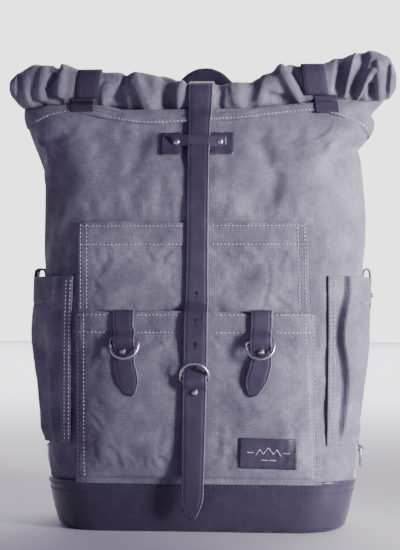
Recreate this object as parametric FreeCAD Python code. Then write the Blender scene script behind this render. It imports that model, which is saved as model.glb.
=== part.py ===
import FreeCAD, Part
import math
import os

# Roll-top travel backpack. Millimetres, +Z up, the front faces -Y, +X is to the right as seen
# from the front, and the origin is the centre of the base's underside.

V = FreeCAD.Vector
UP = V(0, 0, 1)
RIGHT = V(1, 0, 0)

# Driving dimensions: the bag
BASE_HEIGHT = 52.0
# The base's underside: width, front y, back y and corner radius
BASE_BOTTOM = (288.0, -69.0, 69.0, 46.0)
# The body's sections: height, width, front y, back y and corner radius
BODY_LEVELS = [
    (52.0, 315.0, -75.0, 75.0, 52.0),
    (150.0, 324.0, -75.0, 75.0, 55.0),
    (300.0, 328.0, -75.0, 75.0, 55.0),
    (340.0, 332.0, -72.0, 75.0, 54.0),
    (374.0, 342.0, -64.0, 74.0, 50.0),
    (408.0, 360.0, -48.0, 66.0, 42.0),
]
COLLAR_TOP = (446.0, 366.0, -23.0, -4.0, 9.0)
CANVAS = 3.0
LEATHER = 2.2
BOARD = 4.0
PANEL_SEAM_X = 112.0

# The rolled mouth: stations along X with the roll's centre height and radius. It is even under
# the two bands.
ROLL_Y = -14.0
ROLL_STATIONS = [
    (-198.0, 457.0, 20.0),
    (-188.0, 457.0, 23.0),
    (-134.0, 450.0, 20.0),
    (-106.0, 449.0, 20.0),
    (-60.0, 441.0, 18.5),
    (0.0, 437.5, 18.0),
    (60.0, 440.5, 18.2),
    (106.0, 453.0, 20.0),
    (134.0, 454.0, 20.0),
    (188.0, 460.0, 23.0),
    (202.0, 459.0, 20.0),
]
BAND_X = 120.0
BAND_WIDTH = 24.0
BAND = 1.4
BAND_ROLL = {-1: (449.5, 20.0), 1: (453.5, 20.0)}

# Front pockets: left x, right x, bottom z, top z, and the hollow's depth
UPPER_POCKET = (-122.0, 112.0, 53.0, 312.0)
LOWER_POCKET = (-124.0, 120.0, 53.0, 220.0)
POCKET_WALL = 2.0
UPPER_HOLLOW = 4.8
LOWER_HOLLOW = 4.9
BODY_FRONT = -75.0
UPPER_FACE = BODY_FRONT - 0.2 - UPPER_HOLLOW - POCKET_WALL
LOWER_FACE = UPPER_FACE - LOWER_HOLLOW - POCKET_WALL

# The label on the lower pocket
LABEL_SIZE = (57.0, 31.0, 1.6)
LABEL_CENTRE = (70.5, 81.5)
LABEL_TURN = 1.5

# Closures: a strap that passes a D-ring's bar and curve and buttons on a stud
STRAP_WIDTH = 22.0
STRAP = 2.2
RING_HALF = 14.0
RING_WIRE = 1.4
RING_LEG = 5.0
RING_TILT = 20.0
STUD_SHAFT = 1.6
STUD_HEAD = 3.1
ANCHOR = 1.8
ANCHOR_WIDTH = 18.0
STRAP_LINE = LOWER_FACE - ANCHOR - 0.1 - STRAP / 2
BAR_LINE = STRAP_LINE - 0.9
CLOSURE_X = -2.0
CLOSURE_BAR_Z = 153.0
CLOSURE_STUD_Z = 142.0
CLOSURE_HINGE_Z = 130.0
POCKET_BAR_Z = 193.5
POCKET_STUD_Z = 182.0
POCKET_HINGE_Z = 170.0
POCKET_CLOSURE_X = {"left": -73.5, "right": 64.0}
POCKET_RING_X = {"left": -71.4, "right": 61.9}
POCKET_TIP_X = {"left": -67.5, "right": 56.5}
HINGE_GAP = 0.3
KEEPER_X = -1.0
KEEPER_Z = 390.0
# How far out the strap passes the keeper
KEEPER_RUN = 3.8
KEEPER_PATCH = (74.0, 23.4)
KEEPER_LOOP = (58.0, 11.2)
KEEPER_ARCH = (12.6, 17.5)
KEEPER_LEATHER = 2.0
RIVET_X = 22.0

# Side pockets and side hardware
SIDE_BOTTOM = 88.0
SIDE_TOP = 258.0
SIDE_HALF_DEPTH = 66.0
# How far each side pocket stands off the body: at its top, at its bottom
SIDE_BULGE = {-1: (11.0, 8.2), 1: (7.0, 8.2)}
TAB_WIDTH = 22.0
TAB_Y = -8.0
TAB_STUD_Z = 237.0
LOOP_TOP = 87.5
SIDE_RING_BAR_Z = 79.0

# The back
BACK_PAD = (250.0, 254.0, 10.0)
BACK_PAD_Z = 217.0
HANDLE_X = -6.0
HANDLE_RADIUS = 6.5
HANDLE_PIVOT_Z = 392.0
HANDLE_LEG = 49.0
CHAPE_X = 36.0
CHAPE_SLEEVE = 4.6
SHOULDER_TOP = (40.0, 356.0)
SHOULDER_FOOT = (118.0, 64.0)
SHOULDER_Y = 88.0
PAD_LENGTH = 170.0
NECK_WIDTH = 25.0
PAD_WIDTH = 62.0
WEBBING_WIDTH = 25.0


# General shapes

def level(z):
    """The body's section at height z: width, front y, back y and corner radius."""
    for low, high in zip(BODY_LEVELS, BODY_LEVELS[1:]):
        if z <= high[0]:
            break
    share = (z - low[0]) / (high[0] - low[0])
    return tuple(a + (b - a) * share for a, b in zip(low[1:], high[1:]))


def section(z, width, front, back, radius, grow=0.0):
    """A rounded rectangle's wire at height z, made larger all round by grow."""
    half = width / 2 + grow
    front = front - grow
    back = back + grow
    radius = radius + grow
    corners = [(half, back), (-half, back), (-half, front), (half, front)]
    arcs = []
    for number, (x, y) in enumerate(corners):
        centre = V(x - math.copysign(radius, x), y - math.copysign(radius, y - (front + back) / 2), z)
        turn = [math.radians(90 * number + step) for step in (0, 45, 90)]
        points = [centre + V(math.cos(a), math.sin(a), 0) * radius for a in turn]
        arcs.append((points, Part.Arc(*points).toShape()))
    edges = []
    for number, (points, arc) in enumerate(arcs):
        before = arcs[number - 1][0][2]
        edges.append(Part.makeLine(before, points[0]))
        edges.append(arc)
    return Part.Wire(edges)


def body_loft(levels, grow=0.0):
    return Part.makeLoft([section(*item, grow=grow) for item in levels], True, True)


def block(x0, x1, y0, y1, z0, z1):
    return Part.makeBox(x1 - x0, y1 - y0, z1 - z0, V(x0, y0, z0))


def band_outline(points, thickness):
    """The closed outline of a band of even thickness along a run of 2-D points."""
    sides = ([], [])
    for number, point in enumerate(points):
        before = points[max(number - 1, 0)]
        after = points[min(number + 1, len(points) - 1)]
        normals = []
        for a, b in ((before, point), (point, after)):
            length = math.hypot(b[0] - a[0], b[1] - a[1])
            if length > 0:
                normals.append(((a[1] - b[1]) / length, (b[0] - a[0]) / length))
        nx = sum(n[0] for n in normals) / len(normals)
        ny = sum(n[1] for n in normals) / len(normals)
        reach = thickness / 2 / (nx * nx + ny * ny)
        sides[0].append((point[0] + nx * reach, point[1] + ny * reach))
        sides[1].append((point[0] - nx * reach, point[1] - ny * reach))
    return sides[0] + sides[1][::-1]


def face_of(points):
    return Part.Face(Part.makePolygon(points + points[:1]))


def band_yz(points, thickness, x0, x1):
    """A band whose run lies in the YZ plane and whose width goes from x0 to x1."""
    outline = [V(x0, y, z) for y, z in band_outline(points, thickness)]
    return face_of(outline).extrude(V(x1 - x0, 0, 0))


def band_xy(points, thickness, z0, z1):
    """A band whose run lies in the XY plane and whose width goes from z0 to z1."""
    outline = [V(x, y, z0) for x, y in band_outline(points, thickness)]
    return face_of(outline).extrude(V(0, 0, z1 - z0))


def plate_xz(points, y0, y1):
    """A flat plate with its outline in the XZ plane."""
    return face_of([V(x, y0, z) for x, z in points]).extrude(V(0, y1 - y0, 0))


def lathe(profile, place, direction):
    """A turned solid: profile is (radius, height) points, and it stands along direction."""
    solid = face_of([V(r, 0, h) for r, h in profile]).revolve(V(0, 0, 0), UP, 360)
    turn = FreeCAD.Rotation(UP, direction)
    solid.Placement = FreeCAD.Placement(place, turn)
    return solid


def round_bar(points, radius):
    """A round bar along straight runs, with a ball at each bend."""
    bar = None
    for start, end in zip(points, points[1:]):
        run = end - start
        piece = Part.makeCylinder(radius, run.Length, start, run)
        bar = bar.fuse([Part.makeSphere(radius, start), piece]) if bar else piece
    return bar.removeSplitter()


def drill(shape, place, direction, radius):
    length = 12.0
    return shape.cut(Part.makeCylinder(radius, length, place - direction * (length / 2), direction))


def export(shape, node):
    solids = shape.Solids
    if not shape.isValid() or len(solids) != 1:
        print("check", node, "valid", shape.isValid(), "solids", len(solids))
    solids[0].exportStep("parts/" + node + ".step")


# The bag itself

def base_tray():
    outer = Part.makeLoft([section(0, *BASE_BOTTOM), section(*BODY_LEVELS[0])], True, True)
    low = section(CANVAS, *BASE_BOTTOM, grow=-CANVAS)
    high = section(BASE_HEIGHT + 1, *BODY_LEVELS[0][1:], grow=-CANVAS)
    return outer.cut(Part.makeLoft([low, high], True, True))


def base_board():
    return Part.makeLoft(
        [
            section(CANVAS + 0.2, *BASE_BOTTOM, grow=-CANVAS - 2),
            section(CANVAS + 0.2 + BOARD, *BASE_BOTTOM, grow=-CANVAS - 2),
        ],
        True,
        True,
    )


def body_shell():
    outer = body_loft(BODY_LEVELS)
    low = (BODY_LEVELS[0][0] - 1,) + BODY_LEVELS[0][1:]
    high = (BODY_LEVELS[-1][0] + 1,) + BODY_LEVELS[-1][1:]
    inner = body_loft([low] + BODY_LEVELS[1:-1] + [high], grow=-CANVAS)
    return outer.cut(inner)


def body_panels():
    shell = body_shell()
    seam = PANEL_SEAM_X
    bottom = BASE_HEIGHT - 5
    top = BODY_LEVELS[-1][0] + 5
    return {
        "front_panel": shell.common(block(-seam, seam, -100, 0, bottom, top)),
        "back_panel": shell.common(block(-seam, seam, 0, 100, bottom, top)),
        "side_panel_left": shell.common(block(-220, -seam, -100, 100, bottom, top)),
        "side_panel_right": shell.common(block(seam, 220, -100, 100, bottom, top)),
    }


def roll(grow=0.0):
    wires = []
    for x, z, radius in ROLL_STATIONS:
        wires.append(Part.Wire(Part.makeCircle(radius + grow, V(x, ROLL_Y, z), RIGHT)))
    return Part.makeLoft(wires, True, False)


def collar():
    """The mouth's canvas, which closes like a tent up to the underside of the roll."""
    levels = [BODY_LEVELS[-1], COLLAR_TOP]
    outer = body_loft(levels)
    low = (levels[0][0] - 1,) + levels[0][1:]
    high = (levels[1][0] + 1,) + levels[1][1:]
    inner = body_loft([low, high], grow=-CANVAS)
    return outer.cut(inner).cut(roll(0.3))


def roll_band(side):
    """A webbing band, sewn to the collar in front and wrapped over the roll."""
    centre_x = math.copysign(BAND_X, side)
    z, radius = BAND_ROLL[side]
    reach = radius + 1.2 + BAND / 2
    run = [(-47.8, 410.3), (-41.2, 420.3)]
    for angle in range(200, -5, -20):
        turn = math.radians(angle)
        run.append((ROLL_Y + reach * math.cos(turn), z + reach * math.sin(turn)))
    return band_yz(run, BAND, centre_x - BAND_WIDTH / 2, centre_x + BAND_WIDTH / 2)


# Pockets on the front

def front_pocket(outline, face, back):
    """An open-topped patch pocket between its face and the plane that it is sewn to."""
    x0, x1, z0, z1 = outline
    outer = block(x0, x1, face, back, z0, z1)
    wall = POCKET_WALL
    hollow = block(x0 + wall, x1 - wall, face + wall, back + 1, z0 + wall, z1 + 1)
    return outer.cut(hollow)


def upper_pocket():
    return front_pocket(UPPER_POCKET, UPPER_FACE, BODY_FRONT - 0.2)


def lower_pocket():
    """Its right wall stands beside the upper pocket, and its left wall lies on the upper pocket."""
    pocket = front_pocket(LOWER_POCKET, LOWER_FACE, UPPER_FACE - 0.1)
    x0, x1, z0, z1 = LOWER_POCKET
    return pocket.fuse(block(x1 - POCKET_WALL, x1, LOWER_FACE, BODY_FRONT - 0.2, z0, z1)).removeSplitter()


def label():
    width, height, thickness = LABEL_SIZE
    x, z = LABEL_CENTRE
    plate = block(-width / 2, width / 2, -thickness, 0, -height / 2, height / 2)
    plate.rotate(V(0, 0, 0), V(0, 1, 0), LABEL_TURN)
    plate.translate(V(x, LOWER_FACE - 0.05, z))
    return plate


# Closures

def closure_run(bar_z):
    """The strap's line as it passes over the leather loop that holds a ring's bar."""
    over = [(0.9, 7.8), (-2.8, 4.1), (-4.35, 1.0)]
    over += [(y, -z) for y, z in over[::-1]]
    return [(BAR_LINE + y, bar_z + z) for y, z in over]


def keeper_tilt():
    """How far the facet under the keeper leans back from the vertical, in degrees."""
    return math.degrees(math.atan2(level(404.0)[1] - level(376.0)[1], 404.0 - 376.0))


def keeper_point(up, out):
    """The (y, z) of a point up the keeper's facet from its middle and out from its face."""
    tilt = math.radians(keeper_tilt())
    y = level(KEEPER_Z)[1] + up * math.sin(tilt) - out * math.cos(tilt)
    return y, KEEPER_Z + up * math.cos(tilt) + out * math.sin(tilt)


def keeper_frame(shape):
    """Place a shape made in the front facet's own plane onto the upper front of the bag."""
    shape.rotate(V(0, 0, 0), RIGHT, -keeper_tilt())
    shape.translate(V(KEEPER_X, level(KEEPER_Z)[1], KEEPER_Z))
    return shape


def keeper_patch():
    width, height = KEEPER_PATCH
    return keeper_frame(block(-width / 2, width / 2, -LEATHER, -0.2, -height / 2, height / 2))


def keeper_loop():
    width, height = KEEPER_LOOP
    crown, foot = KEEPER_ARCH
    lift = KEEPER_RUN + STRAP / 2 + 0.3 + KEEPER_LEATHER / 2
    flat = LEATHER + 0.1 + KEEPER_LEATHER / 2
    run = [(width / 2, -flat), (foot, -flat), (crown, -lift)]
    run = [(-x, y) for x, y in run] + run[::-1]
    return keeper_frame(band_xy(run, KEEPER_LEATHER, -height / 2, height / 2))


def keeper_rivet(side):
    profile = [(0, 0), (3.4, 0), (3.4, 0.5), (2.6, 1.3), (1.2, 1.7), (0, 1.8)]
    rivet = lathe(profile, V(side * RIVET_X, -LEATHER - KEEPER_LEATHER - 0.15, 0), V(0, -1, 0))
    return keeper_frame(rivet)


def closure_strap():
    """From the yoke on the back, over the roll, through the keeper and down to the stud."""
    reach = 18.0 + 0.8 + STRAP / 2
    run = [(80.6, 352.0), (80.6, 392.0), (73.0, 411.0)]
    for angle in range(60, 151, 15):
        turn = math.radians(angle)
        run.append((ROLL_Y + reach * math.cos(turn), 437.5 + reach * math.sin(turn)))
    run += [keeper_point(14.0, KEEPER_RUN), keeper_point(-14.0, KEEPER_RUN)]
    run += [(-76.0, 345.0), (UPPER_FACE - 1.7, 313.0)]
    run += [(STRAP_LINE, 221.0)]
    run += closure_run(CLOSURE_BAR_Z)
    run += [(STRAP_LINE, CLOSURE_HINGE_Z + HINGE_GAP)]
    half = STRAP_WIDTH / 2
    strap = band_yz(run, STRAP, CLOSURE_X - half, CLOSURE_X + half)
    for z in (240.0, 213.0, 189.0):
        strap = drill(strap, V(CLOSURE_X, STRAP_LINE, z), V(0, 1, 0), 1.7)
    return drill(strap, V(CLOSURE_X, STRAP_LINE, CLOSURE_STUD_Z), V(0, 1, 0), STUD_SHAFT + 0.4)


def strap_tail(x_top, x_tip, z_top, z_tip, shoulder, tip_half):
    """A flat pointed strap end that leans from x_top to x_tip."""
    half = STRAP_WIDTH / 2
    fall = (z_top - shoulder) / (z_top - z_tip)
    x_shoulder = x_top + (x_tip - x_top) * fall
    outline = [
        (x_top - half, z_top),
        (x_shoulder - half, shoulder),
        (x_tip - tip_half, z_tip + 2.5),
        (x_tip - tip_half / 2, z_tip),
        (x_tip + tip_half / 2, z_tip),
        (x_tip + tip_half, z_tip + 2.5),
        (x_shoulder + half, shoulder),
        (x_top + half, z_top),
    ]
    return plate_xz(outline, STRAP_LINE - STRAP / 2, STRAP_LINE + STRAP / 2)


def closure_tail():
    return strap_tail(CLOSURE_X, CLOSURE_X - 4.0, CLOSURE_HINGE_Z - HINGE_GAP, 16.0, 38.0, 5.0)


def pocket_strap(x):
    """From inside the lower pocket, over its hem, over the bar and down to the stud."""
    inside = LOWER_FACE + POCKET_WALL + 0.3 + STRAP / 2
    run = [(inside, 198.0), (inside, 219.5), (inside - 1.2, 222.6), (LOWER_FACE - 0.3, 222.6)]
    run += [(LOWER_FACE - 1.6, 219.5), (STRAP_LINE, 206.0)]
    run += closure_run(POCKET_BAR_Z)
    run += [(STRAP_LINE, POCKET_HINGE_Z + HINGE_GAP)]
    half = STRAP_WIDTH / 2 - 1.0
    strap = band_yz(run, STRAP, x - half, x + half)
    return drill(strap, V(x, STRAP_LINE, POCKET_STUD_Z), V(0, 1, 0), STUD_SHAFT + 0.4)


def anchor_tab(x, bar_z, low_z):
    """A leather tab on the pocket's face that loops round the ring's bar."""
    half = ANCHOR_WIDTH / 2
    centre = V(x - half, BAR_LINE, bar_z)
    sleeve = Part.makeCylinder(3.0, ANCHOR_WIDTH, centre, RIGHT)
    plate = block(x - half, x + half, LOWER_FACE - ANCHOR, LOWER_FACE - 0.05, low_z, bar_z)
    tab = sleeve.fuse(plate).cut(Part.makeCylinder(RING_WIRE + 0.3, ANCHOR_WIDTH, centre, RIGHT))
    return tab.cut(block(x - half, x + half, LOWER_FACE - 0.05, 0, low_z, bar_z + 5))


def d_ring(half=RING_HALF, leg=RING_LEG, wire=RING_WIRE):
    """A welded D-ring in the XZ plane: its bar lies along X at the origin and its curve hangs."""
    ring = Part.makeCylinder(wire, 2 * half, V(-half, 0, 0), RIGHT)
    for x in (-half, half):
        ring = ring.fuse(Part.makeSphere(wire, V(x, 0, 0)))
        ring = ring.fuse(Part.makeCylinder(wire, leg, V(x, 0, 0), V(0, 0, -1)))
    curve = Part.makeTorus(half, wire, V(0, 0, -leg), V(0, 1, 0))
    reach = half + wire + 1
    curve = curve.common(block(-reach, reach, -reach, reach, -leg - reach, -leg))
    return ring.fuse(curve).removeSplitter()


def closure_ring():
    ring = d_ring()
    ring.rotate(V(0, 0, 0), RIGHT, 180 + RING_TILT)
    ring.translate(V(CLOSURE_X, BAR_LINE, CLOSURE_BAR_Z))
    return ring


def pocket_ring(x):
    ring = d_ring()
    ring.rotate(V(0, 0, 0), RIGHT, -RING_TILT)
    ring.translate(V(x, BAR_LINE, POCKET_BAR_Z))
    return ring


def stud(place, direction, shaft):
    """A button stud: a short shaft and a low domed head."""
    profile = [
        (0, 0),
        (STUD_SHAFT, 0),
        (STUD_SHAFT, shaft),
        (STUD_HEAD, shaft),
        (STUD_HEAD, shaft + 0.8),
        (2.3, shaft + 1.8),
        (1.1, shaft + 2.3),
        (0, shaft + 2.4),
    ]
    return lathe(profile, place, direction)


def front_stud(x, z):
    return stud(V(x, LOWER_FACE - ANCHOR - 0.02, z), V(0, -1, 0), STRAP + 0.6)


# Sides

def side_bulge(side, z):
    top, bottom = SIDE_BULGE[side]
    return bottom + (top - bottom) * (z - SIDE_BOTTOM) / (SIDE_TOP - SIDE_BOTTOM)


def side_loft(side, grow, low_z, high_z):
    levels = []
    for z in (low_z, 150.0, high_z):
        width, front, back, radius = level(z)
        levels.append((z, width + 2 * side_bulge(side, z), front, back, radius))
    return body_loft(levels, grow)


def side_pocket(side):
    """A bellows pocket that wraps the side from the front corner to the back corner."""
    reach = SIDE_HALF_DEPTH
    wall = POCKET_WALL
    x0, x1 = sorted((side * 128.0, side * 200.0))
    outer = side_loft(side, 0.0, SIDE_BOTTOM, SIDE_TOP)
    outer = outer.common(block(x0, x1, -reach, reach, SIDE_BOTTOM, SIDE_TOP))
    hollow = side_loft(side, -wall, SIDE_BOTTOM + wall, SIDE_TOP + 2)
    hollow = hollow.common(block(x0, x1, wall - reach, reach - wall, SIDE_BOTTOM + wall, SIDE_TOP + 2))
    body = body_loft(BODY_LEVELS[:3], 0.2)
    pocket = outer.cut(hollow.fuse(body))
    return max(pocket.Solids, key=lambda solid: solid.Volume)


def side_tab_x(side):
    """How far out the side tab hangs: just outside the pocket's top edge."""
    return level(SIDE_TOP)[0] / 2 + SIDE_BULGE[side][0] + 0.4


def side_tab_anchor(side):
    """The tab's fixed end, from the body's side up to the fold over the pocket's edge."""
    inner = level(SIDE_TOP)[0] / 2 + 0.5 + LEATHER / 2
    outer = side_tab_x(side) + LEATHER / 2
    run = [(inner, 240.0), (inner, 261.0), (inner + 1.5, 264.2), (outer - 1.5, 264.2)]
    run += [(outer, 262.8), (outer, 261.6)]
    outline = [V(x, TAB_Y - TAB_WIDTH / 2, z) for x, z in band_outline(run, LEATHER)]
    tab = face_of(outline).extrude(V(0, TAB_WIDTH, 0))
    return tab if side > 0 else tab.mirror(V(0, 0, 0), RIGHT)


def side_tab(side):
    x = side_tab_x(side)
    half = TAB_WIDTH / 2
    outline = [(-half, 261.0), (-half, 233.0), (-5, 222.0), (5, 222.0), (half, 233.0), (half, 261.0)]
    tab = face_of([V(x, TAB_Y + y, z) for y, z in outline]).extrude(V(LEATHER, 0, 0))
    tab = drill(tab, V(x, TAB_Y, TAB_STUD_Z), RIGHT, STUD_HEAD + 1.3)
    return tab if side > 0 else tab.mirror(V(0, 0, 0), RIGHT)


def side_stud(side):
    x = level(TAB_STUD_Z)[0] / 2 + side_bulge(side, TAB_STUD_Z)
    shaft = side_tab_x(side) + LEATHER + 0.3 - x
    return stud(V(side * (x + 0.2), TAB_Y, TAB_STUD_Z), V(side, 0, 0), shaft)


def side_loop(side):
    """A small leather loop above the base that holds the side ring's bar."""
    x = level(LOOP_TOP)[0] / 2 + 0.1
    centre = V(x + 3.2, -9, SIDE_RING_BAR_Z)
    axis = V(0, 1, 0)
    loop = Part.makeCylinder(3.1, 18, centre, axis)
    loop = loop.fuse(block(x, x + 2.0, -9, 9, SIDE_RING_BAR_Z, LOOP_TOP))
    loop = loop.cut(Part.makeCylinder(RING_WIRE + 0.3, 18, centre, axis))
    return loop if side > 0 else loop.mirror(V(0, 0, 0), RIGHT)


def side_ring(side):
    ring = d_ring()
    ring.rotate(V(0, 0, 0), UP, 90)
    ring.translate(V(level(LOOP_TOP)[0] / 2 + 3.3, 0, SIDE_RING_BAR_Z))
    return ring if side > 0 else ring.mirror(V(0, 0, 0), RIGHT)


# The back

def back_pad():
    width, height, thickness = BACK_PAD
    outline = section(0, width, -height / 2, height / 2, 34.0)
    pad = Part.Face(outline).extrude(V(0, 0, thickness))
    pad.rotate(V(0, 0, 0), RIGHT, 90)
    pad.translate(V(0, BODY_LEVELS[0][3] + 0.2 + thickness, BACK_PAD_Z))
    return pad


def back_yoke():
    """The leather yoke, with a short stand-off behind the neck of each shoulder strap."""
    y = BODY_LEVELS[0][3] + 0.2
    outline = [(-62, 347.5), (62, 347.5), (56, 386), (48, 392), (-48, 392), (-56, 386)]
    yoke = plate_xz(outline, y, y + LEATHER)
    for side in (-1, 1):
        foot = V(side * SHOULDER_TOP[0], y, SHOULDER_TOP[1])
        yoke = yoke.fuse(Part.makeCylinder(4.5, SHOULDER_Y - 5.5 - y, foot, V(0, 1, 0)))
    return yoke


def handle_end(side):
    """A leather chape sewn to the yoke, with a bore for the carry handle's end."""
    x = HANDLE_X + side * CHAPE_X
    y = handle_pivot_y()
    face = y - CHAPE_SLEEVE
    plate = block(x - 8, x + 8, face, face + 2.0, 366, HANDLE_PIVOT_Z)
    start = V(x - 8, y, HANDLE_PIVOT_Z)
    sleeve = Part.makeCylinder(CHAPE_SLEEVE, 16, start, RIGHT)
    bore = Part.makeCylinder(2.2, 16, start, RIGHT)
    return plate.fuse(sleeve).cut(bore)


def handle_pivot_y():
    return BODY_LEVELS[0][3] + 0.2 + LEATHER + 0.1 + CHAPE_SLEEVE


def carry_handle():
    """A rolled leather grip that rises in a peak from two pins in the chapes."""
    y = handle_pivot_y()
    half = [(HANDLE_LEG, 398.0), (48.0, 420.0), (40.0, 446.0), (24.0, 467.0), (8.0, 480.0)]
    run = [V(HANDLE_X - x, y, z) for x, z in half]
    run += [V(HANDLE_X, y, 481.5)]
    run += [V(HANDLE_X + x, y, z) for x, z in half[::-1]]
    grip = round_bar(run, HANDLE_RADIUS)
    for side in (-1, 1):
        foot = HANDLE_X + side * HANDLE_LEG
        eye = Part.makeCylinder(4.0, 7.0, V(foot - 3.5, y, HANDLE_PIVOT_Z), RIGHT)
        shank = block(foot - 3.5, foot + 3.5, y - 4, y + 4, HANDLE_PIVOT_Z, 400)
        pin_start = V(foot - side * 3.0, y, HANDLE_PIVOT_Z)
        pin = Part.makeCylinder(1.9, 17.0, pin_start, V(-side, 0, 0))
        grip = grip.fuse([eye, shank, pin])
    return grip


def shoulder_frame(shape, side):
    """Lean a shape made about the vertical through the strap's foot onto the strap's own line."""
    run = SHOULDER_FOOT[0] - SHOULDER_TOP[0]
    rise = SHOULDER_TOP[1] - SHOULDER_FOOT[1]
    lean = math.degrees(math.atan2(run, rise))
    shape.rotate(V(0, 0, 0), V(0, 1, 0), -lean)
    shape.translate(V(SHOULDER_FOOT[0], 0, SHOULDER_FOOT[1]))
    return shape if side > 0 else shape.mirror(V(0, 0, 0), RIGHT)


def shoulder_length():
    run = SHOULDER_FOOT[0] - SHOULDER_TOP[0]
    rise = SHOULDER_TOP[1] - SHOULDER_FOOT[1]
    return math.hypot(run, rise)


def shoulder_pad(side):
    """The padded upper part of a shoulder strap: a narrow neck, then a pad bowed off the back."""
    top = shoulder_length()
    y = SHOULDER_Y
    run = [(y, top), (y + 12, top - 16), (y + 28, top - 44), (y + 38, top - 84)]
    run += [(y + 38, top - 130), (y + 32, top - PAD_LENGTH)]
    neck = NECK_WIDTH / 2
    half = PAD_WIDTH / 2
    right_edge = [(neck, top + 20), (neck, top - 12), (half, top - 46), (half, top - 130), (neck + 4, 0)]
    outline = right_edge + [(-x, z) for x, z in right_edge[::-1]]
    band = band_yz(run, 9.0, -half, half)
    return shoulder_frame(band.common(plate_xz(outline, 0, 300)), side)


def shoulder_webbing(side):
    """The webbing from the pad's lower end to the anchor at the base."""
    start = shoulder_length() - PAD_LENGTH - 0.6
    y = SHOULDER_Y + 32
    run = [(y, start), (y - 4, start - 14), (SHOULDER_Y, 4.0)]
    return shoulder_frame(band_yz(run, 2.0, -WEBBING_WIDTH / 2, WEBBING_WIDTH / 2), side)


def webbing_direction():
    """The webbing's straight run in the strap's own YZ plane, as a start point and a unit step."""
    start = (SHOULDER_Y + 28, shoulder_length() - PAD_LENGTH - 14.6)
    end = (SHOULDER_Y, 4.0)
    length = math.hypot(end[0] - start[0], end[1] - start[1])
    return start, ((end[0] - start[0]) / length, (end[1] - start[1]) / length)


def strap_slider(side):
    """A three-bar slide that runs on the webbing."""
    start, step = webbing_direction()
    half = WEBBING_WIDTH / 2
    frame = block(-half - 4, half + 4, -2.6, 2.6, -10, 10)
    frame = frame.cut(block(-half - 0.6, half + 0.6, -1.4, 1.4, -11, 11))
    frame = frame.cut(block(-half - 0.6, half + 0.6, 0, 3, -6.5, 6.5))
    frame.rotate(V(0, 0, 0), RIGHT, math.degrees(math.atan2(step[0], -step[1])))
    frame.translate(V(0, start[0] + step[0] * 16, start[1] + step[1] * 16))
    return shoulder_frame(frame, side)


def strap_anchor(side):
    """A leather triangle on the back's lower corner that takes the webbing's end."""
    y = BODY_LEVELS[0][3] + 0.3
    x = SHOULDER_FOOT[0]
    outline = [(x - 22, 54), (x + 6, 54), (x + 8, 70), (x - 14, 84)]
    plate = plate_xz(outline, y, y + LEATHER)
    boss = Part.makeCylinder(4.0, SHOULDER_Y - y - 2.0, V(x, y, SHOULDER_FOOT[1]), V(0, 1, 0))
    anchor = plate.fuse(boss)
    return anchor if side > 0 else anchor.mirror(V(0, 0, 0), RIGHT)


def build():
    os.makedirs("parts", exist_ok=True)
    parts = {"base_tray": base_tray(), "base_board": base_board()}
    parts.update(body_panels())
    parts["collar"] = collar()
    parts["roll"] = roll()
    parts["upper_pocket"] = upper_pocket()
    parts["lower_pocket"] = lower_pocket()
    parts["label"] = label()
    parts["keeper_patch"] = keeper_patch()
    parts["keeper_loop"] = keeper_loop()
    parts["closure_strap"] = closure_strap()
    parts["closure_tail"] = closure_tail()
    parts["closure_anchor"] = anchor_tab(CLOSURE_X, CLOSURE_BAR_Z, 133.0)
    parts["closure_ring"] = closure_ring()
    parts["closure_stud"] = front_stud(CLOSURE_X, CLOSURE_STUD_Z)
    parts["back_pad"] = back_pad()
    parts["back_yoke"] = back_yoke()
    parts["carry_handle"] = carry_handle()
    for name, side in (("left", -1), ("right", 1)):
        x = POCKET_CLOSURE_X[name]
        ring_x = POCKET_RING_X[name]
        tail = strap_tail(x, POCKET_TIP_X[name], POCKET_HINGE_Z - HINGE_GAP, 138.0, 153.0, 4.5)
        parts["roll_band_" + name] = roll_band(side)
        parts["keeper_rivet_" + name] = keeper_rivet(side)
        parts["pocket_strap_" + name] = pocket_strap(x)
        parts["pocket_tail_" + name] = tail
        parts["pocket_anchor_" + name] = anchor_tab(ring_x, POCKET_BAR_Z, 173.0)
        parts["pocket_ring_" + name] = pocket_ring(ring_x)
        parts["pocket_stud_" + name] = front_stud(x, POCKET_STUD_Z)
        parts["side_pocket_" + name] = side_pocket(side)
        parts["side_tab_anchor_" + name] = side_tab_anchor(side)
        parts["side_tab_" + name] = side_tab(side)
        parts["side_stud_" + name] = side_stud(side)
        parts["side_loop_" + name] = side_loop(side)
        parts["side_ring_" + name] = side_ring(side)
        parts["handle_end_" + name] = handle_end(side)
        parts["shoulder_pad_" + name] = shoulder_pad(side)
        parts["shoulder_webbing_" + name] = shoulder_webbing(side)
        parts["strap_slider_" + name] = strap_slider(side)
        parts["strap_anchor_" + name] = strap_anchor(side)
    for node, shape in parts.items():
        export(shape, node)
    print(len(parts), "parts")


build()
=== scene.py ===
import math

import bmesh
import bpy
import numpy as np
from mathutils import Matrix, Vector, noise
from mathutils.bvhtree import BVHTree


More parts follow.
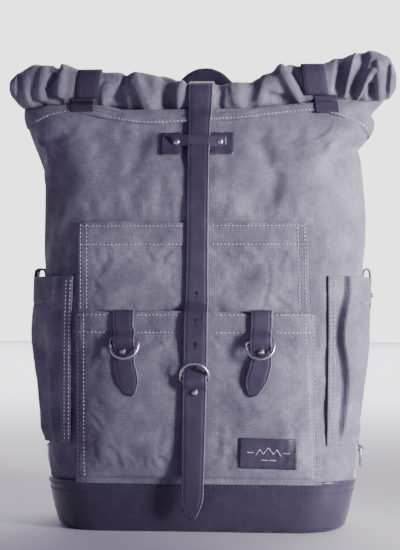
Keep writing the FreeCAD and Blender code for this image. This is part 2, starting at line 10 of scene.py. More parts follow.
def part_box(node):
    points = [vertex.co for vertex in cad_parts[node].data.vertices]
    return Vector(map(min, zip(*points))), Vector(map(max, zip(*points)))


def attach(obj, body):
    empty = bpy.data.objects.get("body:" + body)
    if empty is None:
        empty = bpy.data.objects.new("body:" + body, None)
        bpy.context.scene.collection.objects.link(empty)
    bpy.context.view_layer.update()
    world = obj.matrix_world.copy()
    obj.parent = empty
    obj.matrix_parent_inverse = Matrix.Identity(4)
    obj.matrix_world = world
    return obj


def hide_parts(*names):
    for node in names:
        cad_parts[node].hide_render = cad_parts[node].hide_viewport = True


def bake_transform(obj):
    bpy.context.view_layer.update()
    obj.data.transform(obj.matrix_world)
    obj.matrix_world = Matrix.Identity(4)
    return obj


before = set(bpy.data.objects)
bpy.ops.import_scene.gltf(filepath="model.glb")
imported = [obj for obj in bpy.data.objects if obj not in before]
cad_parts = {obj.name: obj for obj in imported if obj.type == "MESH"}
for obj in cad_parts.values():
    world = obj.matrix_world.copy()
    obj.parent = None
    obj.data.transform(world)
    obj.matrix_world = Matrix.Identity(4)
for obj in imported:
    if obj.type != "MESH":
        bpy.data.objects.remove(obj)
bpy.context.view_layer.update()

# A roll-top travel backpack in waxed canvas and black leather. Metres, +Z up, the front faces -Y.

MM = 0.001


def low(node):
    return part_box(node)[0]


def high(node):
    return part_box(node)[1]


# Places read from the frame
BASE_TOP = high("base_tray").z
STRAP_FACE = low("closure_tail").y
STRAP_BACK = high("closure_tail").y
STRAP_LINE = (STRAP_FACE + STRAP_BACK) / 2
# A ring's bar lies a little in front of its strap's middle, and this far inside its ring's box
BAR_Y = STRAP_LINE - 0.9 * MM
BAR_INSET = 1.4 * MM
CLOSURE_HINGE = high("closure_tail").z
CLOSURE_X = (low("closure_ring").x + high("closure_ring").x) / 2
POCKET_FACE = low("lower_pocket").y
UPPER_FACE = low("upper_pocket").y
LOWER_TOP = high("lower_pocket").z
UPPER_TOP = high("upper_pocket").z
ROLL_Y = (low("roll").y + high("roll").y) / 2


# Which way each side lies along x
SIDES = {"left": -1, "right": 1}


# Camera, light and floor

def make_camera():
    """Level with the middle of the bag, a little to its right, a long way off."""
    azimuth = math.radians(5.0)
    back = Vector((math.sin(azimuth), -math.cos(azimuth), 0.0))
    right = Vector((math.cos(azimuth), math.sin(azimuth), 0.0))
    data = bpy.data.cameras.new("camera")
    data.lens = 100.0
    data.sensor_width = 36.0
    camera = bpy.data.objects.new("camera", data)
    camera.location = back * 1.6 - right * 0.0047 + Vector((0, 0, 0.258))
    camera.rotation_euler = (-back).to_track_quat("-Z", "Y").to_euler()
    bpy.context.collection.objects.link(camera)
    bpy.context.scene.camera = camera


def area_light(name, place, aim, size, power, colour, spread=180.0):
    data = bpy.data.lights.new(name, "AREA")
    data.shape = "RECTANGLE"
    data.size, data.size_y = size
    data.energy = power
    data.color = colour
    data.spread = math.radians(spread)
    light = bpy.data.objects.new(name, data)
    light.location = place
    light.rotation_euler = (Vector(aim) - Vector(place)).to_track_quat("-Z", "Y").to_euler()
    bpy.context.collection.objects.link(light)


def make_light():
    """A gridded soft box from the right, a bright wall behind and a dim violet room in front."""
    area_light("key", (0.84, -0.52, 0.33), (0.20, -0.06, 0.255), (0.24, 0.56), 2.3, (1.0, 0.975, 1.0), 38.0)
    area_light("floor_wash", (0.0, 2.7, 2.0), (0.0, 2.7, 0.0), (4.4, 3.0), 120.0, (1.0, 0.99, 1.0), 60.0)
    area_light("back_fill", (0.5, 1.6, 0.7), (0, 0.05, 0.25), (1.2, 1.2), 4.0, (1.0, 0.98, 1.0))
    world = bpy.data.worlds.new("studio")
    world.use_nodes = True
    tree = world.node_tree
    background = tree.nodes["Background"]
    place = tree.nodes.new("ShaderNodeTexCoord")
    behind = tree.nodes.new("ShaderNodeVectorMath")
    behind.operation = "DOT_PRODUCT"
    behind.inputs[1].default_value = (0.30, 1.0, 0.0)
    ramp = tree.nodes.new("ShaderNodeValToRGB")
    tree.links.new(place.outputs["Generated"], behind.inputs[0])
    tree.links.new(behind.outputs["Value"], ramp.inputs["Fac"])
    tree.links.new(ramp.outputs["Color"], background.inputs["Color"])
    first, last = ramp.color_ramp.elements
    first.position, first.color = 0.30, (0.052, 0.033, 0.080, 1)
    last.position, last.color = 0.86, (1.0, 0.99, 1.0, 1)
    background.inputs["Strength"].default_value = 2.9
    bpy.context.scene.world = world


def make_floor():
    half, far = 6.0, 4.3
    points = [(-half, -half, 0), (half, -half, 0), (half, far, 0), (-half, far, 0)]
    mesh = bpy.data.meshes.new("floor")
    mesh.from_pydata(points, [], [(0, 1, 2, 3)])
    floor = bpy.data.objects.new("floor", mesh)
    bpy.context.collection.objects.link(floor)
    mesh.materials.append(plain_material("floor_paint", (0.86, 0.85, 0.88), 0.9))


# Materials

class Nodes:
    """Shorthand for building one material's nodes."""

    def __init__(self, name):
        self.material = bpy.data.materials.new(name)
        self.material.use_nodes = True
        self.tree = self.material.node_tree
        self.shader = self.tree.nodes["Principled BSDF"]

    def new(self, kind, settings=(), **inputs):
        node = self.tree.nodes.new("ShaderNode" + kind)
        for key, value in settings:
            setattr(node, key, value)
        for key, value in inputs.items():
            self.put(node.inputs[key.replace("_", " ")], value)
        return node

    def put(self, socket, value):
        if isinstance(value, bpy.types.NodeSocket):
            self.tree.links.new(value, socket)
        elif isinstance(value, bpy.types.Node):
            self.tree.links.new(value.outputs[0], socket)
        else:
            socket.default_value = value

    def maths(self, operation, first, second=0.0):
        node = self.tree.nodes.new("ShaderNodeMath")
        node.operation = operation
        self.put(node.inputs[0], first)
        self.put(node.inputs[1], second)
        return node.outputs[0]

    def ramp(self, value, stops):
        node = self.tree.nodes.new("ShaderNodeValToRGB")
        self.put(node.inputs["Fac"], value)
        elements = node.color_ramp.elements
        for number, (place, colour) in enumerate(stops):
            element = elements[number] if number < 2 else elements.new(place)
            element.position = place
            element.color = (*colour, 1.0)
        return node.outputs["Color"]

    def mix(self, share, first, second, blend="MIX"):
        node = self.tree.nodes.new("ShaderNodeMix")
        node.data_type = "RGBA"
        node.blend_type = blend
        self.put(node.inputs["Factor"], share)
        self.put(node.inputs["A"], first)
        self.put(node.inputs["B"], second)
        return node.outputs["Result"]

    def noise(self, vector, scale, detail=2.0, roughness=0.5):
        node = self.new("TexNoise", Vector=vector, Scale=scale, Detail=detail, Roughness=roughness)
        return node.outputs["Fac"]

    def place(self, scale=(1, 1, 1), attribute=None):
        """Coordinates in metres along the cloth, or in the frame, stretched by scale."""
        if attribute:
            source = self.new("Attribute", [("attribute_name", attribute)]).outputs["Vector"]
        else:
            source = self.new("TexCoord").outputs["Object"]
        node = self.new("Mapping", Vector=source)
        node.inputs["Scale"].default_value = scale
        return node.outputs["Vector"]

    def wave(self, direction, scale):
        """Even ribs across the cloth."""
        cloth = self.place(attribute="weave")
        return self.new("TexWave", [("bands_direction", direction)], Vector=cloth, Scale=scale).outputs["Fac"]

    def bump(self, height, strength, distance, normal=None):
        node = self.new("Bump", Height=height, Strength=strength, Distance=distance)
        if normal is not None:
            self.put(node.inputs["Normal"], normal)
        return node.outputs["Normal"]

    def finish(self, colour, roughness, normal=None, **more):
        self.put(self.shader.inputs["Base Color"], colour)
        self.put(self.shader.inputs["Roughness"], roughness)
        if normal is not None:
            self.put(self.shader.inputs["Normal"], normal)
        for key, value in more.items():
            self.put(self.shader.inputs[key.replace("_", " ")], value)
        return self.material


def plain_material(name, colour, roughness):
    nodes = Nodes(name)
    tone = nodes.noise(nodes.place(), 3.0)
    shade = nodes.mix(nodes.maths("MULTIPLY", tone, 0.08), (*colour, 1), (*[c * 0.8 for c in colour], 1))
    return nodes.finish(shade, roughness)


def canvas_material(name, dark, mid, light):
    """Waxed cotton canvas: a plain weave of uneven threads, cloudy wax and paler rubbed places."""
    nodes = Nodes(name)
    across = nodes.noise(nodes.place((1500, 130, 1), "weave"), 1.0, 3.0, 0.6)
    along = nodes.noise(nodes.place((130, 1500, 1), "weave"), 1.0, 3.0, 0.6)
    threads = nodes.maths("ADD", nodes.maths("MULTIPLY", across, 0.5), nodes.maths("MULTIPLY", along, 0.5))
    slub = nodes.noise(nodes.place((420, 30, 1), "weave"), 1.0, 2.0)
    wax = nodes.noise(nodes.place(), 34.0, 6.0, 0.65)
    clouds = nodes.noise(nodes.place(), 7.0, 3.0)
    tone = nodes.maths("ADD", nodes.maths("MULTIPLY", threads, 0.42), nodes.maths("MULTIPLY", wax, 0.36))
    tone = nodes.maths("ADD", tone, nodes.maths("MULTIPLY", clouds, 0.20))
    tone = nodes.maths("ADD", tone, nodes.maths("MULTIPLY", slub, 0.05))
    colour = nodes.ramp(tone, [(0.38, dark), (0.66, light), (0.52, mid)])
    cloth = nodes.maths("MULTIPLY", nodes.wave("X", 190.0), nodes.wave("Y", 190.0))
    cloth = nodes.maths("ADD", cloth, threads)
    normal = nodes.bump(wax, 0.35, 0.0012)
    normal = nodes.bump(cloth, 0.55, 0.0004, normal)
    rough = nodes.maths("ADD", 0.68, nodes.maths("MULTIPLY", wax, 0.2))
    return nodes.finish(colour, rough, normal, Sheen_Weight=0.12, Sheen_Roughness=0.5)


def leather_material(name, dark, light, roughness, grain=1.0):
    """Dyed full-grain leather: fine pores, soft broad creases and a waxy uneven shine."""
    nodes = Nodes(name)
    pores = nodes.new("TexVoronoi", Vector=nodes.place(), Scale=1100.0)
    soft = nodes.noise(nodes.place(), 55.0, 4.0, 0.6)
    broad = nodes.noise(nodes.place(), 12.0, 3.0)
    tone = nodes.maths("ADD", nodes.maths("MULTIPLY", soft, 0.6), nodes.maths("MULTIPLY", broad, 0.4))
    colour = nodes.ramp(tone, [(0.32, dark), (0.70, light)])
    normal = nodes.bump(soft, 0.25, 0.0012)
    normal = nodes.bump(pores.outputs["Distance"], 0.22 * grain, 0.0004, normal)
    rough = nodes.maths("ADD", roughness - 0.10, nodes.maths("MULTIPLY", soft, 0.22))
    return nodes.finish(colour, rough, normal, Specular_IOR_Level=0.55)


def edge_material():
    """The raw, burnished edge of a leather strap, paler than the grain side: partly the bare edge's own tone,
    partly a painted highlight.
    """
    nodes = Nodes("leather_raw_edge_and_highlight")
    fibres = nodes.noise(nodes.place(), 900.0, 3.0)
    # Paler than the leather: partly the bare edge's own tone, partly a painted highlight along the edges.
    colour = nodes.ramp(fibres, [(0.35, (0.10, 0.085, 0.14)), (0.65, (0.20, 0.17, 0.25))])
    return nodes.finish(colour, 0.6, nodes.bump(fibres, 0.4, 0.0003))


def webbing_material():
    nodes = Nodes("cotton_webbing")
    ribs = nodes.wave("X", 160.0)
    picks = nodes.wave("Y", 240.0)
    fuzz = nodes.noise(nodes.place(attribute="weave"), 700.0, 3.0)
    height = nodes.maths("ADD", ribs, nodes.maths("MULTIPLY", picks, 0.5))
    # The colour follows the rib height, so the grooves between ribs are painted darker: painted shade; the
    # fuzz is the yarn's own uneven tone.
    tone = nodes.maths("ADD", nodes.maths("MULTIPLY", height, 0.35), nodes.maths("MULTIPLY", fuzz, 0.5))
    colour = nodes.ramp(tone, [(0.25, (0.022, 0.014, 0.036)), (0.85, (0.055, 0.040, 0.082))])
    return nodes.finish(colour, 0.8, nodes.bump(height, 0.6, 0.0004))


def thread_material():
    nodes = Nodes("sewing_thread")
    twist = nodes.noise(nodes.place(), 1500.0, 2.0)
    colour = nodes.ramp(twist, [(0.3, (0.40, 0.36, 0.45)), (0.7, (0.62, 0.58, 0.67))])
    return nodes.finish(colour, 0.7, nodes.bump(twist, 0.4, 0.0002))


def nickel_material():
    nodes = Nodes("worn_nickel")
    smudge = nodes.noise(nodes.place(), 140.0, 4.0, 0.6)
    scratches = nodes.noise(nodes.place((1, 1, 9)), 900.0, 2.0)
    colour = nodes.ramp(smudge, [(0.3, (0.60, 0.57, 0.61)), (0.7, (0.80, 0.78, 0.80))])
    rough = nodes.maths("ADD", 0.16, nodes.maths("MULTIPLY", smudge, 0.22))
    return nodes.finish(colour, rough, nodes.bump(scratches, 0.08, 0.0002), Metallic=1.0)


def board_material():
    nodes = Nodes("fibre_board")
    fibres = nodes.noise(nodes.place((60, 900, 60)), 1.0, 4.0)
    colour = nodes.ramp(fibres, [(0.3, (0.16, 0.12, 0.09)), (0.7, (0.28, 0.22, 0.16))])
    return nodes.finish(colour, 0.85, nodes.bump(fibres, 0.3, 0.0005))


def mesh_fabric_material():
    """The open spacer mesh on the back pad and under the shoulder straps."""
    nodes = Nodes("spacer_mesh")
    holes = nodes.new("TexVoronoi", [("feature", "F1")], Vector=nodes.place(attribute="weave"), Scale=330.0)
    depth = holes.outputs["Distance"]
    fuzz = nodes.noise(nodes.place(attribute="weave"), 900.0, 2.0)
    # The colour darkens with the hole depth, so the holes are painted darker than the threads round them:
    # painted shade; the fuzz is the yarn's own uneven tone.
    tone = nodes.maths("ADD", nodes.maths("MULTIPLY", depth, 0.8), nodes.maths("MULTIPLY", fuzz, 0.2))
    colour = nodes.ramp(tone, [(0.15, (0.018, 0.014, 0.026)), (0.65, (0.075, 0.062, 0.10))])
    return nodes.finish(colour, 0.9, nodes.bump(depth, 0.8, 0.0009))


# Number tools

def smooth_curve(places, values):
    """A smooth function through the given values."""
    xs = np.array(places, float)
    ys = np.array(values, float)
    slopes = np.gradient(ys, xs)

    def at(x):
        x = np.clip(np.asarray(x, float), xs[0], xs[-1])
        i = np.clip(np.searchsorted(xs, x, side="right") - 1, 0, len(xs) - 2)
        h = xs[i + 1] - xs[i]
        t = (x - xs[i]) / h
        start = ys[i] * (2 * t**3 - 3 * t**2 + 1) + slopes[i] * h * (t**3 - 2 * t**2 + t)
        end = ys[i + 1] * (3 * t**2 - 2 * t**3) + slopes[i + 1] * h * (t**3 - t**2)
        return start + end

    return at


def smooth_through(points):
    """The same for a list of (place, value) points."""
    return smooth_curve(*zip(*points))


def near(value, place, width):
    """1 at place, falling smoothly to 0 on both sides of it."""
    return np.exp(-(((value - place) / width) ** 2))


def ease(value, start, end):
    """0 before start, 1 after end, and smooth between."""
    t = np.clip((np.asarray(value, float) - start) / (end - start), 0, 1)
    return t * t * (3 - 2 * t)


def cloudy(points, scale, seed=0.0):
    """Smooth noise from -1 to 1 at each point."""
    shift = Vector((seed, seed * 1.7, -seed))
    return np.array([noise.noise(Vector(p) * scale + shift) for p in points])


def fold_field(across, up, folds, crispness=2.0):
    """How far each (across, up) place is pushed out or in by a list of folds.

    Each fold is a run of (across, up, height, width) points in metres. Crispness makes its sides steep.
    """
    total = np.zeros(len(across))
    for fold in folds:
        best = np.full(len(across), 1e9)
        lift = np.zeros(len(across))
        for (x0, z0, h0, w0), (x1, z1, h1, w1) in zip(fold, fold[1:]):
            dx, dz = x1 - x0, z1 - z0
            share = np.clip(((across - x0) * dx + (up - z0) * dz) / (dx * dx + dz * dz), 0, 1)
            away = np.hypot(across - x0 - share * dx, up - z0 - share * dz)
            width = w0 + (w1 - w0) * share
            closer = away / width < best
            best = np.where(closer, away / width, best)
            lift = np.where(closer, h0 + (h1 - h0) * share, lift)
        total += lift * np.exp(-(best**crispness))
    return total


def resample(points, step):
    """Points along a smooth line through the given ones, about step apart."""
    points = np.array(points, float)
    lengths = np.concatenate([[0], np.cumsum(np.linalg.norm(np.diff(points, axis=0), axis=1))])
    count = max(int(lengths[-1] / step), 2)
    places = np.linspace(0, lengths[-1], count + 1)
    return np.stack([smooth_curve(lengths, points[:, k])(places) for k in range(points.shape[1])], axis=1)


# Mesh tools

def mesh_object(name, points, faces, materials, weave=None, indices=None):
    mesh = bpy.data.meshes.new(name)
    mesh.from_pydata([tuple(p) for p in points], [], faces)
    for material in materials:
        mesh.materials.append(material)
    if weave is not None:
        attribute = mesh.attributes.new("weave", "FLOAT_VECTOR", "POINT")
        flat = np.zeros((len(points), 3), np.float32)
        flat[:, : weave.shape[1]] = weave
        attribute.data.foreach_set("vector", flat.ravel())
    if indices is not None:
        mesh.polygons.foreach_set("material_index", indices)
    mesh.polygons.foreach_set("use_smooth", [True] * len(mesh.polygons))
    mesh.update()
    piece = bpy.data.objects.new(name, mesh)
    bpy.context.collection.objects.link(piece)
    return piece


def grid_faces(rows, columns, wrap=False, start=0):
    """Quads of a grid whose point (row, column) is number row * columns + column."""
    faces = []
    for row in range(rows - 1):
        for column in range(columns if wrap else columns - 1):
            after = (column + 1) % columns
            a = start + row * columns + column
            b = start + row * columns + after
            faces.append((a, b, b + columns, a + columns))
    return faces


def bake(piece):
    """Apply the piece's modifiers."""
    graph = bpy.context.evaluated_depsgraph_get()
    mesh = bpy.data.meshes.new_from_object(piece.evaluated_get(graph), depsgraph=graph)
    piece.modifiers.clear()
    piece.data = mesh
    return piece


def thicken(piece, thickness, offset=-1.0):
    modifier = piece.modifiers.new("thickness", "SOLIDIFY")
    modifier.thickness = thickness
    modifier.offset = offset
    modifier.use_even_offset = False
    return bake(piece)


def subdivide(piece, levels=1):
    modifier = piece.modifiers.new("smooth", "SUBSURF")
    modifier.levels = levels
    modifier.render_levels = levels
    return bake(piece)


def coordinates(piece):
    flat = np.zeros(len(piece.data.vertices) * 3)
    piece.data.vertices.foreach_get("co", flat)
    return flat.reshape(-1, 3)


def relax_cloth(piece, hold, pressure, spare, cap, frames=16):
    """Let the piece settle as cloth with some spare fabric, held where hold is near 1.

    No point moves further than cap.
    """
    rest = coordinates(piece)
    group = piece.vertex_groups.new(name="held")
    for number, weight in enumerate(hold):
        if weight > 0.01:
            group.add([number], float(weight), "REPLACE")
    modifier = piece.modifiers.new("cloth", "CLOTH")
    settings = modifier.settings
    settings.quality = 5
    settings.mass = 0.25
    settings.air_damping = 2.0
    settings.tension_stiffness = 25
    settings.compression_stiffness = 25
    settings.shear_stiffness = 8
    settings.bending_stiffness = 1.2
    settings.shrink_min = -spare
    settings.use_pressure = True
    settings.uniform_pressure_force = pressure
    settings.vertex_group_mass = group.name
    settings.pin_stiffness = 4.0
    settings.effector_weights.gravity = 0.0
    modifier.collision_settings.use_collision = False
    modifier.collision_settings.use_self_collision = False
    scene = bpy.context.scene
    modifier.point_cache.frame_start = 1
    modifier.point_cache.frame_end = frames
    for number in range(1, frames + 1):
        scene.frame_set(number)
    bake(piece)
    scene.frame_set(1)
    moved = coordinates(piece) - rest
    far = np.linalg.norm(moved, axis=1, keepdims=True)
    soft = cap * np.tanh(far / cap)
    result = rest + moved * np.divide(soft, far, out=np.zeros_like(far), where=far > 1e-9)
    piece.data.vertices.foreach_set("co", result.ravel())
    piece.data.update()
    piece.vertex_groups.clear()
    return piece


class Surface:
    """Finds where a straight line meets a set of pieces."""

    def __init__(self, *pieces):
        graph = bpy.context.evaluated_depsgraph_get()
        self.trees = [BVHTree.FromObject(piece, graph) for piece in pieces]

    def hit(self, start, direction):
        best = None
        for tree in self.trees:
            place, normal, _, distance = tree.ray_cast(Vector(start), Vector(direction))
            if place is not None and (best is None or distance < best[2]):
                best = (place, normal, distance)
        return best

    def front(self, x, z):
        found = self.hit((x, -0.4, z), (0, 1, 0))
        return found[0].y if found else 0.0


# Straps

def strap_mesh(name, line, across, half_widths, thickness, materials, crease=True):
    """A leather or webbing strap along line, with rounded raw edges and a creased border.

    line is the strap's middle, across the unit vector over its width at each point.
    """
    line = np.array(line, float)
    across = np.array(across, float)
    along = np.gradient(line, axis=0)
    along /= np.linalg.norm(along, axis=1, keepdims=True)
    normal = np.cross(along, across)
    normal /= np.linalg.norm(normal, axis=1, keepdims=True)
    half = thickness / 2
    rim = min(0.0006, half * 0.7)
    dip = 0.00035 if crease else 0.0
    points, weave = [], []
    lengths = np.concatenate([[0], np.cumsum(np.linalg.norm(np.diff(line, axis=0), axis=1))])
    for number, centre in enumerate(line):
        w = half_widths[number]
        side = [
            (w - rim, -half), (w, -half + rim), (w, half - rim), (w - rim, half),
            (w - 0.0016, half), (w - 0.0022, half - dip), (w - 0.0028, half), (w * 0.5, half),
        ]
        ring = side + [(0.0, half)] + [(-x, y) for x, y in side[::-1]] + [(-w * 0.5, -half), (w * 0.5, -half)]
        for x, y in ring:
            points.append(centre + across[number] * x + normal[number] * y)
            weave.append((x, lengths[number]))
    columns = len(points) // len(line)
    faces = grid_faces(len(line), columns, wrap=True)
    raw = [column in (0, 1, 2, 14, 15, 16) for column in range(columns)]
    indices = [1 if raw[number % columns] else 0 for number in range(len(faces))]
    last = (len(line) - 1) * columns
    faces.append(tuple(range(columns))[::-1])
    faces.append(tuple(range(last, last + columns)))
    indices += [1, 1]
    return mesh_object(name, points, faces, materials, np.array(weave), indices)


def steady(vector, count):
    return np.tile(np.array(vector, float), (count, 1))


def even_strap(name, line, across, half_width, thickness, materials, crease=True):
    """A strap of one width that keeps one direction across it."""
    count = len(line)
    return strap_mesh(name, line, steady(across, count), [half_width] * count, thickness, materials, crease)


def rounded_tip(left, reach):
    """The share of a strap's width that is there at a distance left from its end."""
    return np.sqrt(np.clip(1 - (1 - np.clip(left / reach, 0, 1)) ** 2, 0.03, 1))


def line_lengths(line):
    line = np.array(line, float)
    return np.concatenate([[0], np.cumsum(np.linalg.norm(np.diff(line, axis=0), axis=1))])


# Stitches

class Stitching:
    """Collects single stitches, each a short raised loop of thread, and makes one mesh of them."""

    def __init__(self):
        self.points = []
        self.faces = []

    def one(self, start, end, normal, thick):
        along = end - start
        side = along.cross(normal).normalized() * thick
        lift = normal.normalized() * thick
        start_number = len(self.points)
        for share, size in ((0.0, 0.45), (0.22, 1.0), (0.78, 1.0), (1.0, 0.45)):
            centre = start + along * share + lift * 0.35 * size
            for a, b in ((1, 0), (0.5, 0.85), (-0.5, 0.85), (-1, 0), (0, -0.7)):
                self.points.append(centre + side * a * size + lift * b * size)
        for ring in range(3):
            for k in range(5):
                a = start_number + ring * 5 + k
                b = start_number + ring * 5 + (k + 1) % 5
                self.faces.append((a, b, b + 5, a + 5))
        self.faces.append(tuple(start_number + k for k in range(5))[::-1])
        self.faces.append(tuple(start_number + 15 + k for k in range(5)))

    def along(self, line, surface, direction, pitch=0.0038, gap=0.0017, thick=0.00048, start=0.2):
        """Stitches along a line, each laid on the surface as seen along direction.

        direction is one vector, or a function that gives it at a point.
        """
        aim = direction if callable(direction) else lambda point: Vector(direction).normalized()
        dense = resample(line, pitch)
        for first, second in zip(dense, dense[1:]):
            a, b = Vector(first), Vector(second)
            step = (b - a).normalized()
            ends = []
            for point in (a + step * gap / 2, b - step * gap / 2):
                found = surface.hit(point - aim(point) * start, aim(point))
                if found:
                    ends.append(found)
            if len(ends) == 2 and (ends[0][0] - ends[1][0]).length < pitch * 2:
                self.one(ends[0][0], ends[1][0], -aim(a), thick)

    def make(self, name, body="bag"):
        return finish_soft(mesh_object(name, self.points, self.faces, [thread]), body=body)


def inward(point):
    """From outside the bag straight in to its upright axis, across its rounded corners."""
    x = point.x - math.copysign(min(abs(point.x), 0.11), point.x)
    y = point.y - math.copysign(min(abs(point.y), 0.02), point.y)
    return Vector((-x, -y, 0)).normalized()


# The shell of the bag

# height, half width to the left, half width to the right, front y, back y, corner radius
SHELL_LEVELS = [
    (0.044, 0.1575, 0.1550, -0.0740, 0.0745, 0.050),
    (0.100, 0.1605, 0.1585, -0.0762, 0.0752, 0.054),
    (0.200, 0.1640, 0.1635, -0.0775, 0.0755, 0.056),
    (0.300, 0.1645, 0.1650, -0.0770, 0.0755, 0.056),
    (0.345, 0.1665, 0.1630, -0.0735, 0.0755, 0.054),
    (0.376, 0.1710, 0.1600, -0.0655, 0.0740, 0.050),
    (0.390, 0.1755, 0.1600, -0.0590, 0.0720, 0.047),
    (0.400, 0.1790, 0.1690, -0.0535, 0.0695, 0.044),
    (0.412, 0.1845, 0.1750, -0.0470, 0.0640, 0.041),
    (0.426, 0.1885, 0.1715, -0.0380, 0.0500, 0.033),
    (0.440, 0.1850, 0.1840, -0.0290, 0.0180, 0.021),
    (0.450, 0.1800, 0.1800, -0.0220, -0.0030, 0.009),
]
SHELL_CURVES = [smooth_through([(row[0], row[k]) for row in SHELL_LEVELS]) for k in range(1, 6)]
# Shares of the way round: half the back, a corner, a side, a corner, the front and so on
SHELL_SHARES = np.cumsum([0, 0.127, 0.1, 0.046, 0.1, 0.254, 0.1, 0.046, 0.1, 0.127])


def shell_points(u, z):
    """Points of the bag's outer face: u from 0 to 1 goes round from the middle of the back."""
    u = np.mod(u, 1.0)
    left, right, front, back, radius = [curve(z) for curve in SHELL_CURVES]
    x, y = np.zeros_like(u), np.zeros_like(u)
    centres = {
        1: (-left + radius, back - radius, 90),
        3: (-left + radius, front + radius, 180),
        5: (right - radius, front + radius, 270),
        7: (right - radius, back - radius, 0),
    }
    straights = {
        0: ((0 * left, back), (-left + radius, back)),
        2: ((-left, back - radius), (-left, front + radius)),
        4: ((-left + radius, front), (right - radius, front)),
        6: ((right, front + radius), (right, back - radius)),
        8: ((right - radius, back), (0 * right, back)),
    }
    for part in range(9):
        start, end = SHELL_SHARES[part], SHELL_SHARES[part + 1]
        here = (u >= start) & (u <= end)
        share = np.clip((u - start) / (end - start), 0, 1)
        if part in centres:
            cx, cy, angle = centres[part]
            turn = np.radians(angle + 90 * share)
            px, py = cx + radius * np.cos(turn), cy + radius * np.sin(turn)
        else:
            (x0, y0), (x1, y1) = straights[part]
            px, py = x0 + (x1 - x0) * share, y0 + (y1 - y0) * share
        x, y = np.where(here, px, x), np.where(here, py, y)
    # A stuffed bag's flat faces swell a little between their corners.
    middle = np.clip(np.cos(x / 0.125 * math.pi / 2), 0, 1)
    swell = 0.0035 * middle * ease(z, 0.05, 0.12) * (1 - ease(z, 0.33, 0.40))
    y = y + np.where(y > 0, 0.4, -1) * swell
    return np.stack([x, y, z + 0 * x], axis=1)


def shell_normals(u, z):
    step = 0.002
    around = shell_points(u + step, z) - shell_points(u - step, z)
    up = shell_points(u, z + step) - shell_points(u, z - step)
    normal = np.cross(around, up)
    return normal / np.linalg.norm(normal, axis=1, keepdims=True)


PERIMETER = 0.86

# Soft folds of the canvas in front, as (across, up, height, width) runs
BODY_FOLDS = [
    [(-0.150, 0.395, -0.0030, 0.012), (-0.135, 0.340, -0.0022, 0.014), (-0.140, 0.290, 0.0, 0.012)],
    [(-0.120, 0.400, 0.0022, 0.012), (-0.105, 0.350, 0.0018, 0.014), (-0.100, 0.325, 0.0, 0.012)],
    [(0.150, 0.405, 0.0030, 0.012), (0.120, 0.370, 0.0022, 0.014), (0.085, 0.345, 0.0, 0.014)],
    [(0.155, 0.385, -0.0040, 0.007), (0.135, 0.372, -0.0020, 0.009), (0.115, 0.362, 0.0, 0.009)],
    [(0.140, 0.335, 0.0020, 0.012), (0.146, 0.300, 0.0018, 0.012), (0.142, 0.270, 0.0, 0.012)],
    [(-0.060, 0.385, -0.0015, 0.014), (-0.065, 0.345, -0.0012, 0.014), (-0.060, 0.320, 0.0, 0.012)],
    [(0.060, 0.395, -0.0018, 0.012), (0.075, 0.355, -0.0014, 0.014), (0.070, 0.325, 0.0, 0.012)],
]


# The height of the seam between the collar and the front, which rises to the two webbing bands
seam_height = smooth_through([
    (-0.178, 0.4120), (-0.145, 0.4230), (-0.127, 0.4250), (-0.116, 0.4240), (-0.099, 0.4190),
    (-0.079, 0.4145), (-0.066, 0.4125), (-0.020, 0.4125), (0.010, 0.4145), (0.040, 0.4160),
    (0.066, 0.4190), (0.093, 0.4220), (0.118, 0.4235), (0.131, 0.4205), (0.147, 0.4155),
    (0.161, 0.4095), (0.176, 0.4000),
])


def make_body_canvas():
    """The bag's canvas from the base seam up to the collar seam, settled as cloth."""
    columns, rows = 216, 92
    u = np.linspace(0, 1, columns, endpoint=False)
    heights = np.linspace(BASE_TOP - 0.006, 0.428, rows)
    grid_u, grid_z = np.meshgrid(u, heights)
    flat_u, flat_z = grid_u.ravel(), grid_z.ravel()
    points = shell_points(flat_u, flat_z)
    normals = shell_normals(flat_u, flat_z)
    in_front = ease(-points[:, 1], 0.01, 0.04)
    push = fold_field(points[:, 0], points[:, 2], BODY_FOLDS) * in_front
    push += 0.0011 * cloudy(points, 16.0, 3.0) + 0.0005 * cloudy(points, 42.0, 8.0)
    behind_pocket = (
        ease(points[:, 0], -0.132, -0.118) * (1 - ease(points[:, 0], 0.110, 0.124))
        * (1 - ease(points[:, 2], UPPER_TOP - 0.004, UPPER_TOP + 0.012)) * in_front
    )
    pad_low, pad_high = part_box("back_pad")
    behind_pad = (
        ease(points[:, 0], pad_low.x - 0.01, pad_low.x + 0.01)
        * (1 - ease(points[:, 0], pad_high.x - 0.01, pad_high.x + 0.01))
        * (1 - ease(points[:, 2], 0.39, 0.40)) * ease(points[:, 1], 0.01, 0.04)
    )
    beside = ease(np.abs(points[:, 0]), 0.122, 0.130)
    in_side_pocket = beside * (1 - ease(points[:, 2], 0.262, 0.275)) * ease(points[:, 2], 0.075, 0.085)
    held = np.maximum(behind_pocket, behind_pad)
    push *= 1 - held
    points += normals * push[:, None]
    edge = np.maximum(1 - ease(flat_z, 0.050, 0.066), ease(flat_z, 0.402, 0.414))
    hold = np.clip(np.maximum.reduce([held, in_side_pocket, edge]), 0, 1)
    weave = np.stack([flat_u * PERIMETER, flat_z], axis=1)
    piece = mesh_object("body_canvas", points, grid_faces(rows, columns, wrap=True), [canvas], weave)
    relax_cloth(piece, hold, 1.5, 0.018, 0.0045)
    subdivide(piece)
    finish_soft(piece, "front_panel", "back_panel", "side_panel_left", "side_panel_right")
    return piece


